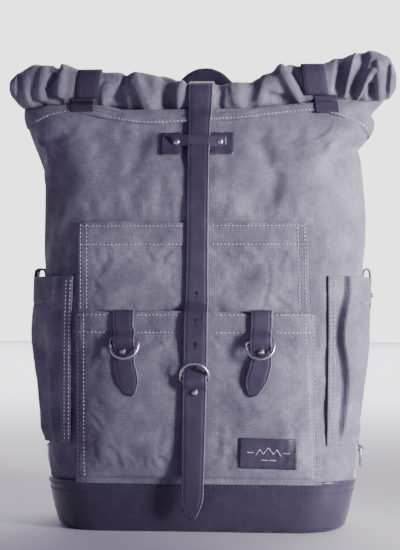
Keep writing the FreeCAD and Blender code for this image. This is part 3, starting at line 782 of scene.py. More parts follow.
def make_collar_canvas():
    """The mouth's canvas, from its seam up under the roll, with a turned lower edge."""
    columns, rows = 432, 22
    u = np.linspace(0, 1, columns, endpoint=False)
    low_edge = shell_points(u, np.full(columns, 0.412))
    seam_behind, top = 0.411, 0.449
    seam = np.where(low_edge[:, 1] < 0.02, seam_height(low_edge[:, 0]), seam_behind)
    share = np.linspace(0, 1, rows)
    flat_u = np.tile(u, rows)
    flat_z = (seam[None, :] + (top - seam[None, :]) * share[:, None]).ravel()
    points = shell_points(flat_u, flat_z)
    normals = shell_normals(flat_u, flat_z)
    ripple = 0.0006 * cloudy(points, 60.0, 5.0)
    slack = 0.0014 * cloudy(points, 22.0, 1.0) * np.repeat(ease(share, 0, 0.5), columns)
    points += normals * (0.0016 + ripple + slack)[:, None]
    # its top turns in under the roll
    under = ROLL_BOTTOM(points[:, 0])
    tucked_y = ROLL_Y - 0.004
    tuck = ease(points[:, 2], under - 0.0015, under + 0.0035) * (points[:, 1] < tucked_y)
    points[:, 1] += (tucked_y - points[:, 1]) * tuck
    weave = np.stack([flat_u * PERIMETER, flat_z], axis=1)
    piece = mesh_object("collar_canvas", points, grid_faces(rows, columns, wrap=True), [canvas], weave)
    thicken(piece, 0.0014)
    finish_soft(piece, "collar")
    return piece


def finish_soft(piece, *nodes, body="bag", slot="canvas"):
    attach(piece, body)
    if nodes:
        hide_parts(*nodes)
    return piece


# The rolled mouth

ROLL_TOP = smooth_through([
    (-0.200, 0.462), (-0.193, 0.470), (-0.185, 0.4735), (-0.176, 0.4778), (-0.166, 0.4755),
    (-0.147, 0.4781), (-0.128, 0.4720), (-0.109, 0.4700), (-0.088, 0.4678), (-0.076, 0.4636),
    (-0.067, 0.4668), (-0.052, 0.4657), (-0.038, 0.4636), (-0.027, 0.4590), (0.0, 0.4560),
    (0.026, 0.4545), (0.035, 0.4545), (0.042, 0.4565), (0.054, 0.4626), (0.069, 0.4667),
    (0.092, 0.4740), (0.101, 0.4730), (0.125, 0.4760), (0.136, 0.4800), (0.152, 0.4832),
    (0.186, 0.4837), (0.193, 0.4785), (0.198, 0.4660),
])
ROLL_BOTTOM = smooth_through([
    (-0.200, 0.4440), (-0.193, 0.4360), (-0.186, 0.4320), (-0.160, 0.4330), (-0.116, 0.4340),
    (-0.096, 0.4304), (-0.078, 0.4260), (-0.064, 0.4218), (-0.039, 0.4200), (-0.020, 0.4210),
    (0.008, 0.4235), (0.036, 0.4262), (0.070, 0.4300), (0.102, 0.4330), (0.137, 0.4362),
    (0.186, 0.4372), (0.193, 0.4400), (0.198, 0.4480),
])
# Folds of the roll's front, as (across, up, height, width) runs
ROLL_FOLDS = [
    [(-0.152, 0.476, -0.0048, 0.0030), (-0.149, 0.469, -0.0050, 0.0030), (-0.156, 0.4605, -0.0050, 0.0034),
     (-0.1603, 0.450, -0.0050, 0.0036), (-0.157, 0.4418, -0.0045, 0.0036), (-0.149, 0.4387, -0.0035, 0.0036)],
    [(-0.1447, 0.468, 0.0026, 0.0050), (-0.1475, 0.445, 0.0026, 0.0045)],
    [(-0.1640, 0.470, 0.0020, 0.0050), (-0.1670, 0.442, 0.0028, 0.0050)],
    [(-0.1894, 0.470, -0.0015, 0.0028), (-0.1905, 0.440, -0.0013, 0.0030)],
    [(-0.1830, 0.460, 0.0012, 0.0040), (-0.1815, 0.440, 0.0012, 0.0040)],
    [(-0.1769, 0.448, -0.0010, 0.0045), (-0.1690, 0.434, -0.0020, 0.0060)],
    [(-0.0824, 0.4600, -0.0022, 0.0022), (-0.0865, 0.446, -0.0052, 0.0060),
     (-0.0907, 0.430, -0.0070, 0.0100)],
    [(-0.0985, 0.452, 0.0014, 0.0050), (-0.1080, 0.436, 0.0010, 0.0060)],
    [(-0.0720, 0.4605, 0.0028, 0.0070), (-0.0554, 0.4310, 0.0036, 0.0080)],
    [(-0.0398, 0.4620, -0.0030, 0.0070), (-0.0367, 0.4240, -0.0055, 0.0090)],
    [(-0.0215, 0.4530, 0.0024, 0.0045), (-0.0270, 0.4290, 0.0010, 0.0045)],
    [(0.0180, 0.4500, -0.0020, 0.0050), (0.0170, 0.4300, -0.0024, 0.0050)],
    [(0.0339, 0.4500, 0.0022, 0.0070), (0.0380, 0.4320, 0.0020, 0.0070)],
    [(0.0536, 0.4605, -0.0030, 0.0070), (0.0484, 0.4356, -0.0034, 0.0070)],
    [(0.0800, 0.4680, 0.0030, 0.0055), (0.1010, 0.4370, 0.0036, 0.0055)],
    [(0.0940, 0.4680, -0.0034, 0.0042), (0.1060, 0.4440, -0.0034, 0.0042)],
    [(0.0700, 0.4400, -0.0026, 0.0050), (0.0900, 0.4350, -0.0034, 0.0050)],
    [(0.1440, 0.4790, -0.0036, 0.0050), (0.1398, 0.4480, -0.0046, 0.0052)],
    [(0.1564, 0.4780, 0.0034, 0.0038), (0.1450, 0.4440, 0.0030, 0.0038)],
    [(0.1650, 0.4800, -0.0040, 0.0052), (0.1543, 0.4418, -0.0052, 0.0050)],
    [(0.1735, 0.4640, 0.0032, 0.0034), (0.1575, 0.4397, 0.0030, 0.0030)],
    [(0.1725, 0.4500, -0.0050, 0.0034), (0.1740, 0.4387, -0.0066, 0.0042)],
    [(0.1793, 0.4709, 0.0026, 0.0042), (0.1814, 0.4397, 0.0026, 0.0042)],
    [(0.1897, 0.4730, -0.0024, 0.0028), (0.1876, 0.4408, -0.0026, 0.0028)],
]
ROLL_LEFT, ROLL_RIGHT = -0.200, 0.198
BANDS = {"left": -0.119, "right": 0.1165}
BAND_WIDTH = 0.0245


def roll_points(x, turn):
    """Points of the roll: turn is 90 degrees at the top and 180 in front."""
    top, bottom = ROLL_TOP(x), ROLL_BOTTOM(x)
    centre, half = (top + bottom) / 2, (top - bottom) / 2
    depth = 0.0195 + 0.12 * (half - 0.017) + 0.002 * np.cos(x * 34)
    cosine, sine = np.cos(turn), np.sin(turn)
    shrink = (np.abs(cosine) ** 2.5 + np.abs(sine) ** 2.5) ** (-1 / 2.5)
    y = ROLL_Y + depth * cosine * shrink
    z = centre + half * sine * shrink
    return np.stack([x, y, z], axis=1)


def make_roll():
    """The rolled canvas, pinched by its bands and strap, with its turns showing at both ends."""
    around, stations = 116, 330
    ends = 0.5 - 0.5 * np.cos(np.linspace(0, math.pi, stations))
    even = np.linspace(0, 1, stations)
    xs = ROLL_LEFT + (ROLL_RIGHT - ROLL_LEFT) * (0.25 * ends + 0.75 * even)
    turns = np.linspace(0, 2 * math.pi, around, endpoint=False)
    x = np.repeat(xs, around)
    turn = np.tile(turns, stations)
    points = roll_points(x, turn)
    centre_z = (ROLL_TOP(x) + ROLL_BOTTOM(x)) / 2
    outward = points - np.stack([x, np.full_like(x, ROLL_Y), centre_z], axis=1)
    outward /= np.linalg.norm(outward, axis=1, keepdims=True)
    front = ease(-np.cos(turn), -0.45, 0.25)
    pinch = np.ones_like(x)
    for place in (*BANDS.values(), CLOSURE_X):
        pinch *= ease(np.abs(x - place), 0.010, 0.017)
    above_edge = 0.2 + 0.8 * ease(points[:, 2] - ROLL_BOTTOM(x), 0.0, 0.009)
    push = 1.7 * fold_field(x, points[:, 2], ROLL_FOLDS, 3.0) * front * above_edge
    spun = np.stack([x, np.cos(turn) * 0.02, np.sin(turn) * 0.02], axis=1)
    push += 0.0040 * cloudy(spun * np.array([1.0, 0.55, 0.55]), 46.0, 11.0) * (1 - front)
    push += 0.0010 * cloudy(spun, 70.0, 4.0) + 0.0004 * cloudy(spun, 160.0, 2.0)
    points += outward * (push * pinch)[:, None]
    girth = 0.14
    weave = np.stack([x, turn / (2 * math.pi) * girth], axis=1)
    faces = grid_faces(stations, around, wrap=True)
    faces = [face[::-1] for face in faces]
    piece = mesh_object("roll_canvas", points, faces, [canvas], weave)
    hold = np.maximum(1 - pinch, ease(np.abs(x - (ROLL_LEFT + ROLL_RIGHT) / 2), 0.192, 0.197))
    relax_cloth(piece, hold, 1.0, 0.012, 0.0022, frames=10)
    finish_soft(piece, "roll")
    return piece


def roll_end(name, x, outward):
    """A roll's end, where the edges of the wound canvas show as a spiral."""
    turns, per_turn = 3.6, 44
    count = int(turns * per_turn)
    top, bottom = float(ROLL_TOP(x)), float(ROLL_BOTTOM(x))
    centre = np.array([x, ROLL_Y, (top + bottom) / 2])
    half = np.array([0.0, 0.0215, (top - bottom) / 2]) * 0.985
    layer = 1.0 / (turns + 0.6)
    rows = []
    profile = [(-0.5, -0.0042), (-0.30, -0.0004), (-0.10, 0.0006)]
    profile += [(0.12, 0.0004), (0.32, -0.0008), (0.5, -0.0046)]
    for k in range(count + 1):
        angle = 2 * math.pi * k / per_turn
        radius = 1.0 - layer * (k / per_turn)
        wobble = 0.0012 * noise.noise(Vector((angle * 0.8, x * 40, 1.0)))
        for share, rise in profile:
            r = max(radius - layer * 0.5 + layer * share * 0.96, 0.01)
            depth = rise + wobble - 0.0018 * (k / count)
            spot = [outward * depth, half[1] * r * math.cos(angle), half[2] * r * math.sin(angle)]
            rows.append(centre + np.array(spot))
    columns = len(profile)
    faces = grid_faces(count + 1, columns)
    if outward > 0:
        faces = [face[::-1] for face in faces]
    weave = np.array([(p[1], p[2]) for p in rows])
    finish_soft(mesh_object(name, rows, faces, [canvas], weave))


def roll_line(surface, x, angles, lift):
    """Points on the roll's skin at one place across, raised by lift."""
    centre = Vector((x, ROLL_Y, float(ROLL_TOP(x) + ROLL_BOTTOM(x)) / 2))
    line = []
    for angle in angles:
        out = Vector((0, math.cos(math.radians(angle)), math.sin(math.radians(angle))))
        found = surface.hit(centre + out * 0.1, -out)
        reach = (found[0] - centre).length if found else 0.02
        line.append(centre + out * (reach + lift))
    return line


def make_band(name, surface):
    """A webbing band over the roll; the patch that ties it to the collar seam is made by make_band_patch."""
    x = BANDS[name]
    lean = {"left": -0.004, "right": 0.007}[name]
    line = roll_line(surface, x, range(-60, 226, 12), 0.0010)[::-1]
    for point in line:
        point.x += lean * ((0.455 - point.z) / 0.03 - 0.2) * (0.6 if point.y < ROLL_Y else 0.0)
    line = resample([tuple(p) for p in line], 0.0022)
    band_name = "roll_band_webbing_" + name
    band = even_strap(band_name, line, (1, 0, 0), BAND_WIDTH / 2, 0.0016, [webbing, webbing], crease=False)
    finish_soft(band, "roll_band_" + name, slot="webbing")


def make_band_patch(name, surface):
    x = BANDS[name] + {"left": -0.006, "right": 0.010}[name]
    top = float(ROLL_BOTTOM(x)) + 0.006
    bottom = float(seam_height(np.array(x))) + 0.0012
    line = []
    for share in np.linspace(0, 1, 8):
        z = top + (bottom - top) * share
        found = surface.hit((x, -0.3, z), (0, 1, 0))
        line.append((x + 0.002 * share, found[0].y - 0.0012, z))
    line = resample(line, 0.002)
    patch_name = "roll_band_patch_" + name
    patch = even_strap(patch_name, line, (1, 0, 0), 0.0118, 0.0016, [webbing, webbing], crease=False)
    finish_soft(patch, slot="webbing")


# Patch pockets on the front

def pocket_canvas(name, left, right, bottom, top, face, surface, hem, node, corner_lift):
    """A patch pocket: flat where it is sewn down, and standing off the bag in the middle.

    left, right and top are functions or numbers; face is how far forward its middle stands.
    """
    columns, rows = 112, 112
    across = np.linspace(0, 1, columns)
    up = np.linspace(0, 1, rows)
    grid_a, grid_u = np.meshgrid(across, up)
    a, b = grid_a.ravel(), grid_u.ravel()
    x0, x1 = left(b), right(b)
    x = x0 + (x1 - x0) * a
    z = bottom + (top(a) - bottom) * b
    under = np.array([surface.front(px, pz) for px, pz in zip(x, z)])
    from_side = np.minimum(a * (x1 - x0), (1 - a) * (x1 - x0))
    from_bottom = z - bottom
    stand = ease(from_side, 0.0, 0.034) * ease(from_bottom, -0.004, 0.055)
    edge_y = under - 0.0024
    y = edge_y + (face - edge_y) * stand
    y = np.minimum(y, under - corner_lift)
    from_top = top(a) - z
    y -= 0.0007 * (1 - ease(from_top, hem - 0.001, hem + 0.001))
    groove = sum(near(from_top, row, 0.0011) for row in (0.0035, hem))
    groove = groove + sum(near(from_side, row, 0.0011) for row in (0.0030, 0.0095))
    y += 0.0005 * np.clip(groove, 0, 1)
    points = np.stack([x, y, z], axis=1)
    near_seam = np.exp(-np.minimum(from_side, np.minimum(from_top, np.abs(from_top - hem))) / 0.012)
    y -= 0.0010 * cloudy(points, 95.0, 7.0) * near_seam
    y -= 0.0012 * cloudy(points, 24.0, 12.0) * ease(from_side, 0.0, 0.03)
    points = np.stack([x, y, z], axis=1)
    weave = np.stack([x, z], axis=1)
    piece = mesh_object(name, points, grid_faces(rows, columns), [canvas], weave)
    free = ease(from_side, 0.010, 0.020) * ease(from_top, hem, hem + 0.008) * ease(from_bottom, 0.006, 0.02)
    hold = np.maximum(np.clip(1 - free, 0, 1), near(x, CLOSURE_X, 0.016))
    relax_cloth(piece, hold, 0.4, 0.010, 0.0022, frames=12)
    thicken(piece, 0.0020)
    subdivide(piece)
    finish_soft(piece, node)
    return piece


def make_upper_pocket(surface):
    return pocket_canvas(
        "upper_pocket_canvas",
        left=lambda b: -0.1218 + 0.0006 * b,
        right=lambda b: 0.1150 - 0.0062 * b,
        bottom=BASE_TOP + 0.004,
        top=lambda a: UPPER_TOP - 0.0005 - 0.0015 * a + 0.0006 * np.sin(a * 9.0),
        face=UPPER_FACE, surface=surface, hem=0.0225, node="upper_pocket", corner_lift=0.0018,
    )


def make_lower_pocket(surface):
    def top(a):
        sag = 0.0024 * near(a, 0.20, 0.07) + 0.0030 * near(a, 0.77, 0.07)
        return LOWER_TOP + 0.0025 - sag - 0.0022 * ease(a, 0.4, 1.0)

    return pocket_canvas(
        "lower_pocket_canvas",
        left=lambda b: -0.1235 - 0.0006 * (1 - b),
        right=lambda b: 0.1235 - 0.0068 * b,
        bottom=BASE_TOP - 0.003,
        top=top,
        face=POCKET_FACE + 0.0002, surface=surface, hem=0.0195, node="lower_pocket", corner_lift=0.0030,
    )


# The leather base

def make_base():
    """The leather tray: its skin swells a little and turns under at the floor."""
    columns = 300
    low_corner, high_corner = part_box("base_tray")
    shares = [0.0, 0.012, 0.035, 0.07, 0.12, 0.25, 0.4, 0.55, 0.7, 0.85, 0.93, 0.97, 1.0]
    u = np.linspace(0, 1, columns, endpoint=False)
    ring_top = shell_points(u, np.full(columns, 0.046))
    bottom_scale = np.array([0.288 / 0.3125, 0.138 / 0.149, 1.0])
    points, weave = [], []
    for share in shares:
        z = low_corner.z + (high_corner.z - low_corner.z) * share
        scale = bottom_scale + (1 - bottom_scale) * share**0.85
        ring = ring_top * scale
        tuck = 0.0045 * (1 - ease(share, -0.02, 0.09)) ** 1.5
        belly = 0.0012 * math.sin(math.pi * share) + (0.0016 if share > 0.9 else 0.0009)
        out = ring.copy()
        out[:, 2] = 0
        out /= np.linalg.norm(out, axis=1, keepdims=True)
        ring = ring + out * (belly - tuck + 0.0008)
        ring[:, 2] = z
        wave = 0.0008 * cloudy(ring * np.array([1, 1, 1.6]), 26.0, 9.0) * math.sin(math.pi * share)
        ring += out * wave[:, None]
        points += list(ring)
        weave += [(uu * PERIMETER, z) for uu in u]
    rows = len(shares)
    faces = grid_faces(rows, columns, wrap=True)
    centre = len(points)
    points.append(np.array([0, 0, low_corner.z]))
    weave.append((0, 0))
    for column in range(columns):
        faces.append((centre, (column + 1) % columns, column))
    inner = len(points)
    for k in range(columns):
        points.append(points[(rows - 1) * columns + k] * np.array([0.985, 0.97, 1.0]))
        weave.append((0, 0))
    for column in range(columns):
        after = (column + 1) % columns
        top = (rows - 1) * columns
        faces.append((top + column, top + after, inner + after, inner + column))
    piece = mesh_object("base_leather", np.array(points), faces, [base_leather], np.array(weave))
    finish_soft(piece, "base_tray", slot="leather")
    return piece


# Straps that close the bag and its front pocket

def straight_wall(surface, x_at, heights, gap, half_width):
    """A strap's run down the front: it touches the high places and bridges the hollows."""
    depths = []
    for z in heights:
        places = [surface.front(float(x_at(z)) + share * half_width, z) for share in (-0.8, 0.0, 0.8)]
        depths.append(min(places) - gap)
    for _ in range(60):
        inner = [min(b, (a + c) / 2) for a, b, c in zip(depths, depths[1:], depths[2:])]
        depths = [depths[0]] + inner + [depths[-1]]
    return [(float(x_at(z)), y, z) for y, z in zip(depths, heights)]


def over_bar(x, bar_z):
    """The strap's rise over the leather loop that holds a ring's bar."""
    above = [(0.0007, 0.0080), (-0.0026, 0.0042), (-0.0043, 0.0010)]
    below = [(y, -z) for y, z in above[::-1]]
    return [(x, BAR_Y + y, bar_z + z) for y, z in above + below]


# The closure strap's middle and half its width, at each height
STRAP_X = smooth_through([
    (0.016, -0.0052), (0.038, -0.0045), (0.095, -0.0034), (0.150, -0.0022), (0.190, -0.0014),
    (0.280, -0.0002), (0.360, 0.0), (0.410, -0.0008), (0.440, -0.0012), (0.460, -0.0012),
])
STRAP_HALF = smooth_through([
    (0.016, 0.0112), (0.038, 0.0112), (0.095, 0.0118), (0.150, 0.0121), (0.190, 0.0121),
    (0.280, 0.0111), (0.390, 0.0112), (0.415, 0.0114), (0.440, 0.0126), (0.460, 0.0126),
])


def make_closure_strap(surface, roll_surface):
    """The long strap: from the yoke behind, over the roll, down the front to its pointed end."""
    tail_low = low("closure_tail").z
    bar_z = low("closure_ring").z + BAR_INSET
    line = [(0.0, 0.0806, 0.352), (0.0, 0.0806, 0.388), (0.0, 0.0740, 0.4085)]
    line += [tuple(p) for p in roll_line(roll_surface, -0.001, range(40, 175, 9), 0.0013)]
    line += straight_wall(surface, STRAP_X, np.arange(0.424, 0.231, -0.0055), 0.0014, 0.011)
    line.append((float(STRAP_X(0.221)), STRAP_LINE, 0.2205))
    line.append((float(STRAP_X(0.190)), STRAP_LINE, 0.190))
    line += over_bar(float(STRAP_X(bar_z)), bar_z)
    line += [(float(STRAP_X(z)), STRAP_LINE, z) for z in (0.138, 0.120, 0.095, 0.060, 0.038)]
    line.append((-0.0056, STRAP_LINE + 0.0006, tail_low))
    line = resample(line, 0.0018)
    widths = STRAP_HALF(line[:, 2])
    widths = np.where(line[:, 1] > 0, 0.0115, widths)
    left = line_lengths(line)[-1] - line_lengths(line)
    taper = 0.42 + 0.58 * ease(left, -0.004, 0.0225)
    widths = widths * taper * rounded_tip(left, 0.0045)
    strap = strap_mesh(
        "closure_strap_leather", line, steady((1, 0, 0), len(line)), widths, 0.0022,
        [leather, leather_edge],
    )
    x = float(STRAP_X(CLOSURE_HINGE))
    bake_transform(strap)
    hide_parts("closure_strap", "closure_tail")
    return strap


def make_strap_holes(surface):
    """Punched holes down the closure strap, each with the short slit that lets the stud in, drawn as
    near-black discs and slits lying on the strap's face: painted shade.
    """
    points, faces = [], []
    radius, above, count = 0.00165, 0.00012, 20
    for z in (0.2402, 0.2136, 0.1899, 0.1665):
        x = float(STRAP_X(z))
        y = surface.front(x, z) - above
        start = len(points)
        for k in range(count):
            angle = 2 * math.pi * k / count
            points.append((x + radius * math.cos(angle), y, z + radius * math.sin(angle)))
        faces.append(tuple(start + k for k in range(count)))
        start = len(points)
        slit = [(-0.0003, -0.0014), (0.0003, -0.0014), (0.0002, -0.0060), (-0.0002, -0.0060)]
        points += [(x + across, y, z + up) for across, up in slit]
        faces.append((start, start + 3, start + 2, start + 1))
    finish_soft(mesh_object("strap_holes", points, faces, [hole_shade]), slot="leather")


def make_pocket_strap(name):
    """A short strap from inside the lower pocket, over its hem and the ring's bar to its pointed end."""
    tail_low, tail_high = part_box("pocket_tail_" + name)
    strap_low, strap_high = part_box("pocket_strap_" + name)
    x_top = (strap_low.x + strap_high.x) / 2
    x_tip = {"left": -0.0660, "right": 0.0550}[name]
    lean = {"left": 0.0012, "right": -0.0008}[name]
    bar_z = high("pocket_ring_" + name).z - BAR_INSET
    hinge = tail_high.z
    inside = POCKET_FACE + 0.0034
    line = [(x_top, inside, 0.198), (x_top, inside, LOWER_TOP - 0.003)]
    line += [(x_top, inside - 0.0016, LOWER_TOP + 0.0021), (x_top, POCKET_FACE - 0.0006, LOWER_TOP + 0.0022)]
    line += [(x_top, POCKET_FACE - 0.0024, LOWER_TOP - 0.0018), (x_top, STRAP_LINE, LOWER_TOP - 0.012)]
    line += over_bar(x_top + lean, bar_z)
    for share in (0.0, 0.25, 0.5, 0.75):
        x = x_top + lean + (x_tip - x_top - lean) * share
        line.append((x, STRAP_LINE, hinge + (tail_low.z - hinge) * share))
    line.append((x_tip, STRAP_LINE, tail_low.z))
    line = resample(line, 0.0015)
    left = line_lengths(line)[-1] - line_lengths(line)
    swell = 0.0108 + 0.0007 * near(left, 0.022, 0.012)
    taper = 0.38 + 0.62 * ease(left, -0.004, 0.0175)
    widths = swell * taper * rounded_tip(left, 0.0028)
    strap = strap_mesh(
        "pocket_strap_leather_" + name, line, steady((1, 0, 0), len(line)), widths, 0.0021,
        [leather, leather_edge],
    )
    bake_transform(strap)
    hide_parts("pocket_strap_" + name, "pocket_tail_" + name)


def make_anchor(node, ring_node, up):
    """A leather tab on the pocket that folds round a ring's bar."""
    tab_low, tab_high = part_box(node)
    x = (tab_low.x + tab_high.x) / 2
    bar_z = low(ring_node).z + BAR_INSET if up else high(ring_node).z - BAR_INSET
    face = POCKET_FACE - 0.0008
    line = [(x, face, tab_low.z), (x, face, bar_z - 0.0045)]
    bend = 0.0023
    for angle in range(-20, 231, 25):
        turn = math.radians(angle)
        line.append((x, BAR_Y + bend * math.cos(turn), bar_z + bend * math.sin(turn)))
    line.append((x, BAR_Y + 0.0004, bar_z - 0.0046))
    line = resample(line, 0.0008)
    dyed = [leather, leather_edge]
    piece = even_strap(node + "_leather", line, (1, 0, 0), 0.009, 0.0013, dyed, crease=False)
    finish_soft(piece, node, slot="leather")


def tube(name, line, radii, materials, sides=14, closed=False, squeeze=None):
    """A round rod along a line; squeeze scales it (across the line level, across the line upright)."""
    line = np.array(line, float)
    count = len(line)
    if closed:
        along = np.roll(line, -1, axis=0) - np.roll(line, 1, axis=0)
    else:
        along = np.gradient(line, axis=0)
    along /= np.linalg.norm(along, axis=1, keepdims=True)
    first = np.cross(along, steady((0, 1, 0), count))
    first /= np.linalg.norm(first, axis=1, keepdims=True)
    second = np.cross(along, first)
    points, weave = [], []
    lengths = line_lengths(line)
    for number in range(count):
        wide, deep = squeeze[number] if squeeze is not None else (1.0, 1.0)
        for k in range(sides):
            angle = 2 * math.pi * k / sides
            offset = first[number] * math.cos(angle) * wide + second[number] * math.sin(angle) * deep
            points.append(line[number] + offset * radii[number])
            weave.append((radii[number] * angle, lengths[number]))
    faces = grid_faces(count, sides, wrap=True)
    if closed:
        last = (count - 1) * sides
        for k in range(sides):
            after = (k + 1) % sides
            faces.append((last + k, last + after, after, k))
    else:
        last = (count - 1) * sides
        faces.append(tuple(range(sides))[::-1])
        faces.append(tuple(range(last, last + sides)))
    return mesh_object(name, points, faces, materials, np.array(weave))


def ring_outline(half, leg):
    """A D-ring's line as (across, away from its bar) points, with small rounded corners."""
    corner = 0.0026
    line = [(x, 0.0) for x in np.linspace(-half + corner, half - corner, 12)]
    foot = half - corner
    line += [(foot + corner * math.sin(a), corner - corner * math.cos(a)) for a in np.linspace(0.2, 1.57, 6)]
    line += [(half * math.cos(a), leg + half * math.sin(a)) for a in np.linspace(0.0, math.pi, 40)]
    line += [(-foot - corner * math.cos(a), corner - corner * math.sin(a)) for a in np.linspace(0.0, 1.37, 6)]
    return line


def make_ring(node, up, turn):
    """A D-ring whose bar lies across the pocket; turn is how far it has slipped round in its own plane."""
    ring_low, ring_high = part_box(node)
    x = (ring_low.x + ring_high.x) / 2
    bar_z = ring_low.z + BAR_INSET if up else ring_high.z - BAR_INSET
    tilt = math.radians(20)
    away = np.array([0, -math.sin(tilt), math.cos(tilt) if up else -math.cos(tilt)])
    line = []
    for a, r in ring_outline(14 * MM, 5 * MM):
        across = a * math.cos(turn) + r * math.sin(turn)
        out = r * math.cos(turn) - a * math.sin(turn)
        line.append(np.array([x + across, BAR_Y, bar_z]) + away * out)
    wire = 0.00135
    piece = tube(node + "_wire", line, [wire] * len(line), [nickel], closed=True)
    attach(piece, node)
    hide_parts(node)


# The keeper on the upper front

def leather_plate(name, outline, surface, direction, thickness, material, corner=0.003, grid=0.002):
    """A leather patch cut to a four-sided outline that follows the surface under it.

    outline is (across, up) corners in order; across is x, and direction is how it is looked at.
    """
    sign = 1.0 if direction > 0 else -1.0
    (x0, z0), (x1, z1), (x2, z2), (x3, z3) = outline
    width = max(abs(x1 - x0), abs(x2 - x3))
    height = max(abs(z3 - z0), abs(z2 - z1))
    columns, rows = max(int(width / grid), 6), max(int(height / grid), 6)
    points, weave = [], []
    for row in range(rows + 1):
        for column in range(columns + 1):
            a, b = column / columns, row / rows
            # rounded corners: the outline pulls in near its four corners
            from_side = min(a, 1 - a) * width
            from_end = min(b, 1 - b) * height
            pull = 0.0
            if from_side < corner and from_end < corner:
                reach = math.hypot(corner - from_side, corner - from_end)
                pull = 1 - corner / reach if reach > corner else 0.0
            px = (x0 * (1 - a) + x1 * a) * (1 - b) + (x3 * (1 - a) + x2 * a) * b
            pz = (z0 * (1 - a) + z1 * a) * (1 - b) + (z3 * (1 - a) + z2 * a) * b
            px += (1 if a < 0.5 else -1) * pull * (corner - from_side) * (1 if x1 > x0 else -1)
            pz += (1 if b < 0.5 else -1) * pull * (corner - from_end) * (1 if z3 > z0 else -1)
            found = surface.hit((px, -0.4 * sign, pz), (0, sign, 0))
            y = found[0].y if found else points[-1][1]
            edge = min(from_side, from_end)
            crown = 0.0005 * (1 - math.exp(-edge / 0.0012)) - 0.00035 * near(edge, 0.0026, 0.0006)
            points.append((px, y - sign * (thickness + crown - 0.0003), pz))
            weave.append((px, pz))
    faces = grid_faces(rows + 1, columns + 1)
    if sign < 0:
        faces = [face[::-1] for face in faces]
    piece = mesh_object(name, points, faces, [material, leather_edge], np.array(weave))
    modifier = piece.modifiers.new("thickness", "SOLIDIFY")
    modifier.thickness = thickness
    modifier.offset = -1.0
    modifier.use_even_offset = False
    modifier.material_offset_rim = 1
    return bake(piece)


def rectangle(x0, x1, z0, z1, inset=0.0):
    x0, x1, z0, z1 = x0 + inset, x1 - inset, z0 + inset, z1 - inset
    return [(x0, z0), (x1, z0), (x1, z1), (x0, z1)]


def stitch_loop(stitches, corners, surface, direction, pitch=0.0036):
    """A row of stitches round a four-sided outline, one straight side at a time."""
    loop = [(x, 0.0, z) for x, z in corners + corners[:1]]
    for a, b in zip(loop, loop[1:]):
        stitches.along([a, b], surface, direction, pitch)


def make_keeper(surface):
    x, z = -0.0021, 0.3905
    half_w, half_h = 0.037, 0.0117
    patch_outline = rectangle(x - half_w, x + half_w, z - half_h, z + half_h)
    patch = leather_plate("keeper_patch_leather", patch_outline, surface, 1, 0.0021, leather, corner=0.0022)
    finish_soft(patch, "keeper_patch", slot="leather")
    return patch


def make_keeper_loop(surface, strap_surface):
    """The narrow loop that the closure strap runs under, riveted down at both ends."""
    x, z, half_length = -0.0006, 0.3928, 0.0280
    above, tilt = 0.0011, 0.0008
    line = []
    for share in np.linspace(-1, 1, 41):
        px = x + share * half_length
        pz = z - tilt * share
        bare = surface.front(px, pz) - above
        over = strap_surface.front(px, pz) - above
        line.append([px, min(bare, over), pz])
    # pulled tight, it bridges the hollows and touches the high places
    for _ in range(60):
        inner = [min(b[1], (a[1] + c[1]) / 2) for a, b, c in zip(line, line[1:], line[2:])]
        for point, y in zip(line[1:-1], inner):
            point[1] = y
    line = resample(line, 0.0012)
    loop = even_strap("keeper_loop_leather", line, (0, 0, -1), 0.0059, 0.0020, [leather, leather])
    finish_soft(loop, "keeper_loop", slot="leather")
    return loop


def make_keeper_rivet(name, surface):
    """A domed rivet head pressed into one end of the keeper loop."""
    node = "keeper_rivet_" + name
    rivet_low, rivet_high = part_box(node)
    x, z = (rivet_low.x + rivet_high.x) / 2, (rivet_low.z + rivet_high.z) / 2
    face = surface.front(x, z)
    profile = [(0.0034, 0.0002), (0.0034, -0.0004), (0.0031, -0.0010)]
    profile += [(0.0023, -0.0016), (0.0012, -0.0019), (0.0002, -0.0020)]
    count = 28
    points = []
    for radius, depth in profile:
        for k in range(count):
            angle = 2 * math.pi * k / count
            points.append((x + radius * math.cos(angle), face + depth, z + radius * math.sin(angle)))
    faces = grid_faces(len(profile), count, wrap=True)
    faces.append(tuple(range((len(profile) - 1) * count, len(profile) * count)))
    head = mesh_object(node + "_head", points, faces, [nickel])
    fix_normals(head)
    finish_soft(head, node, slot="nickel")


# The label

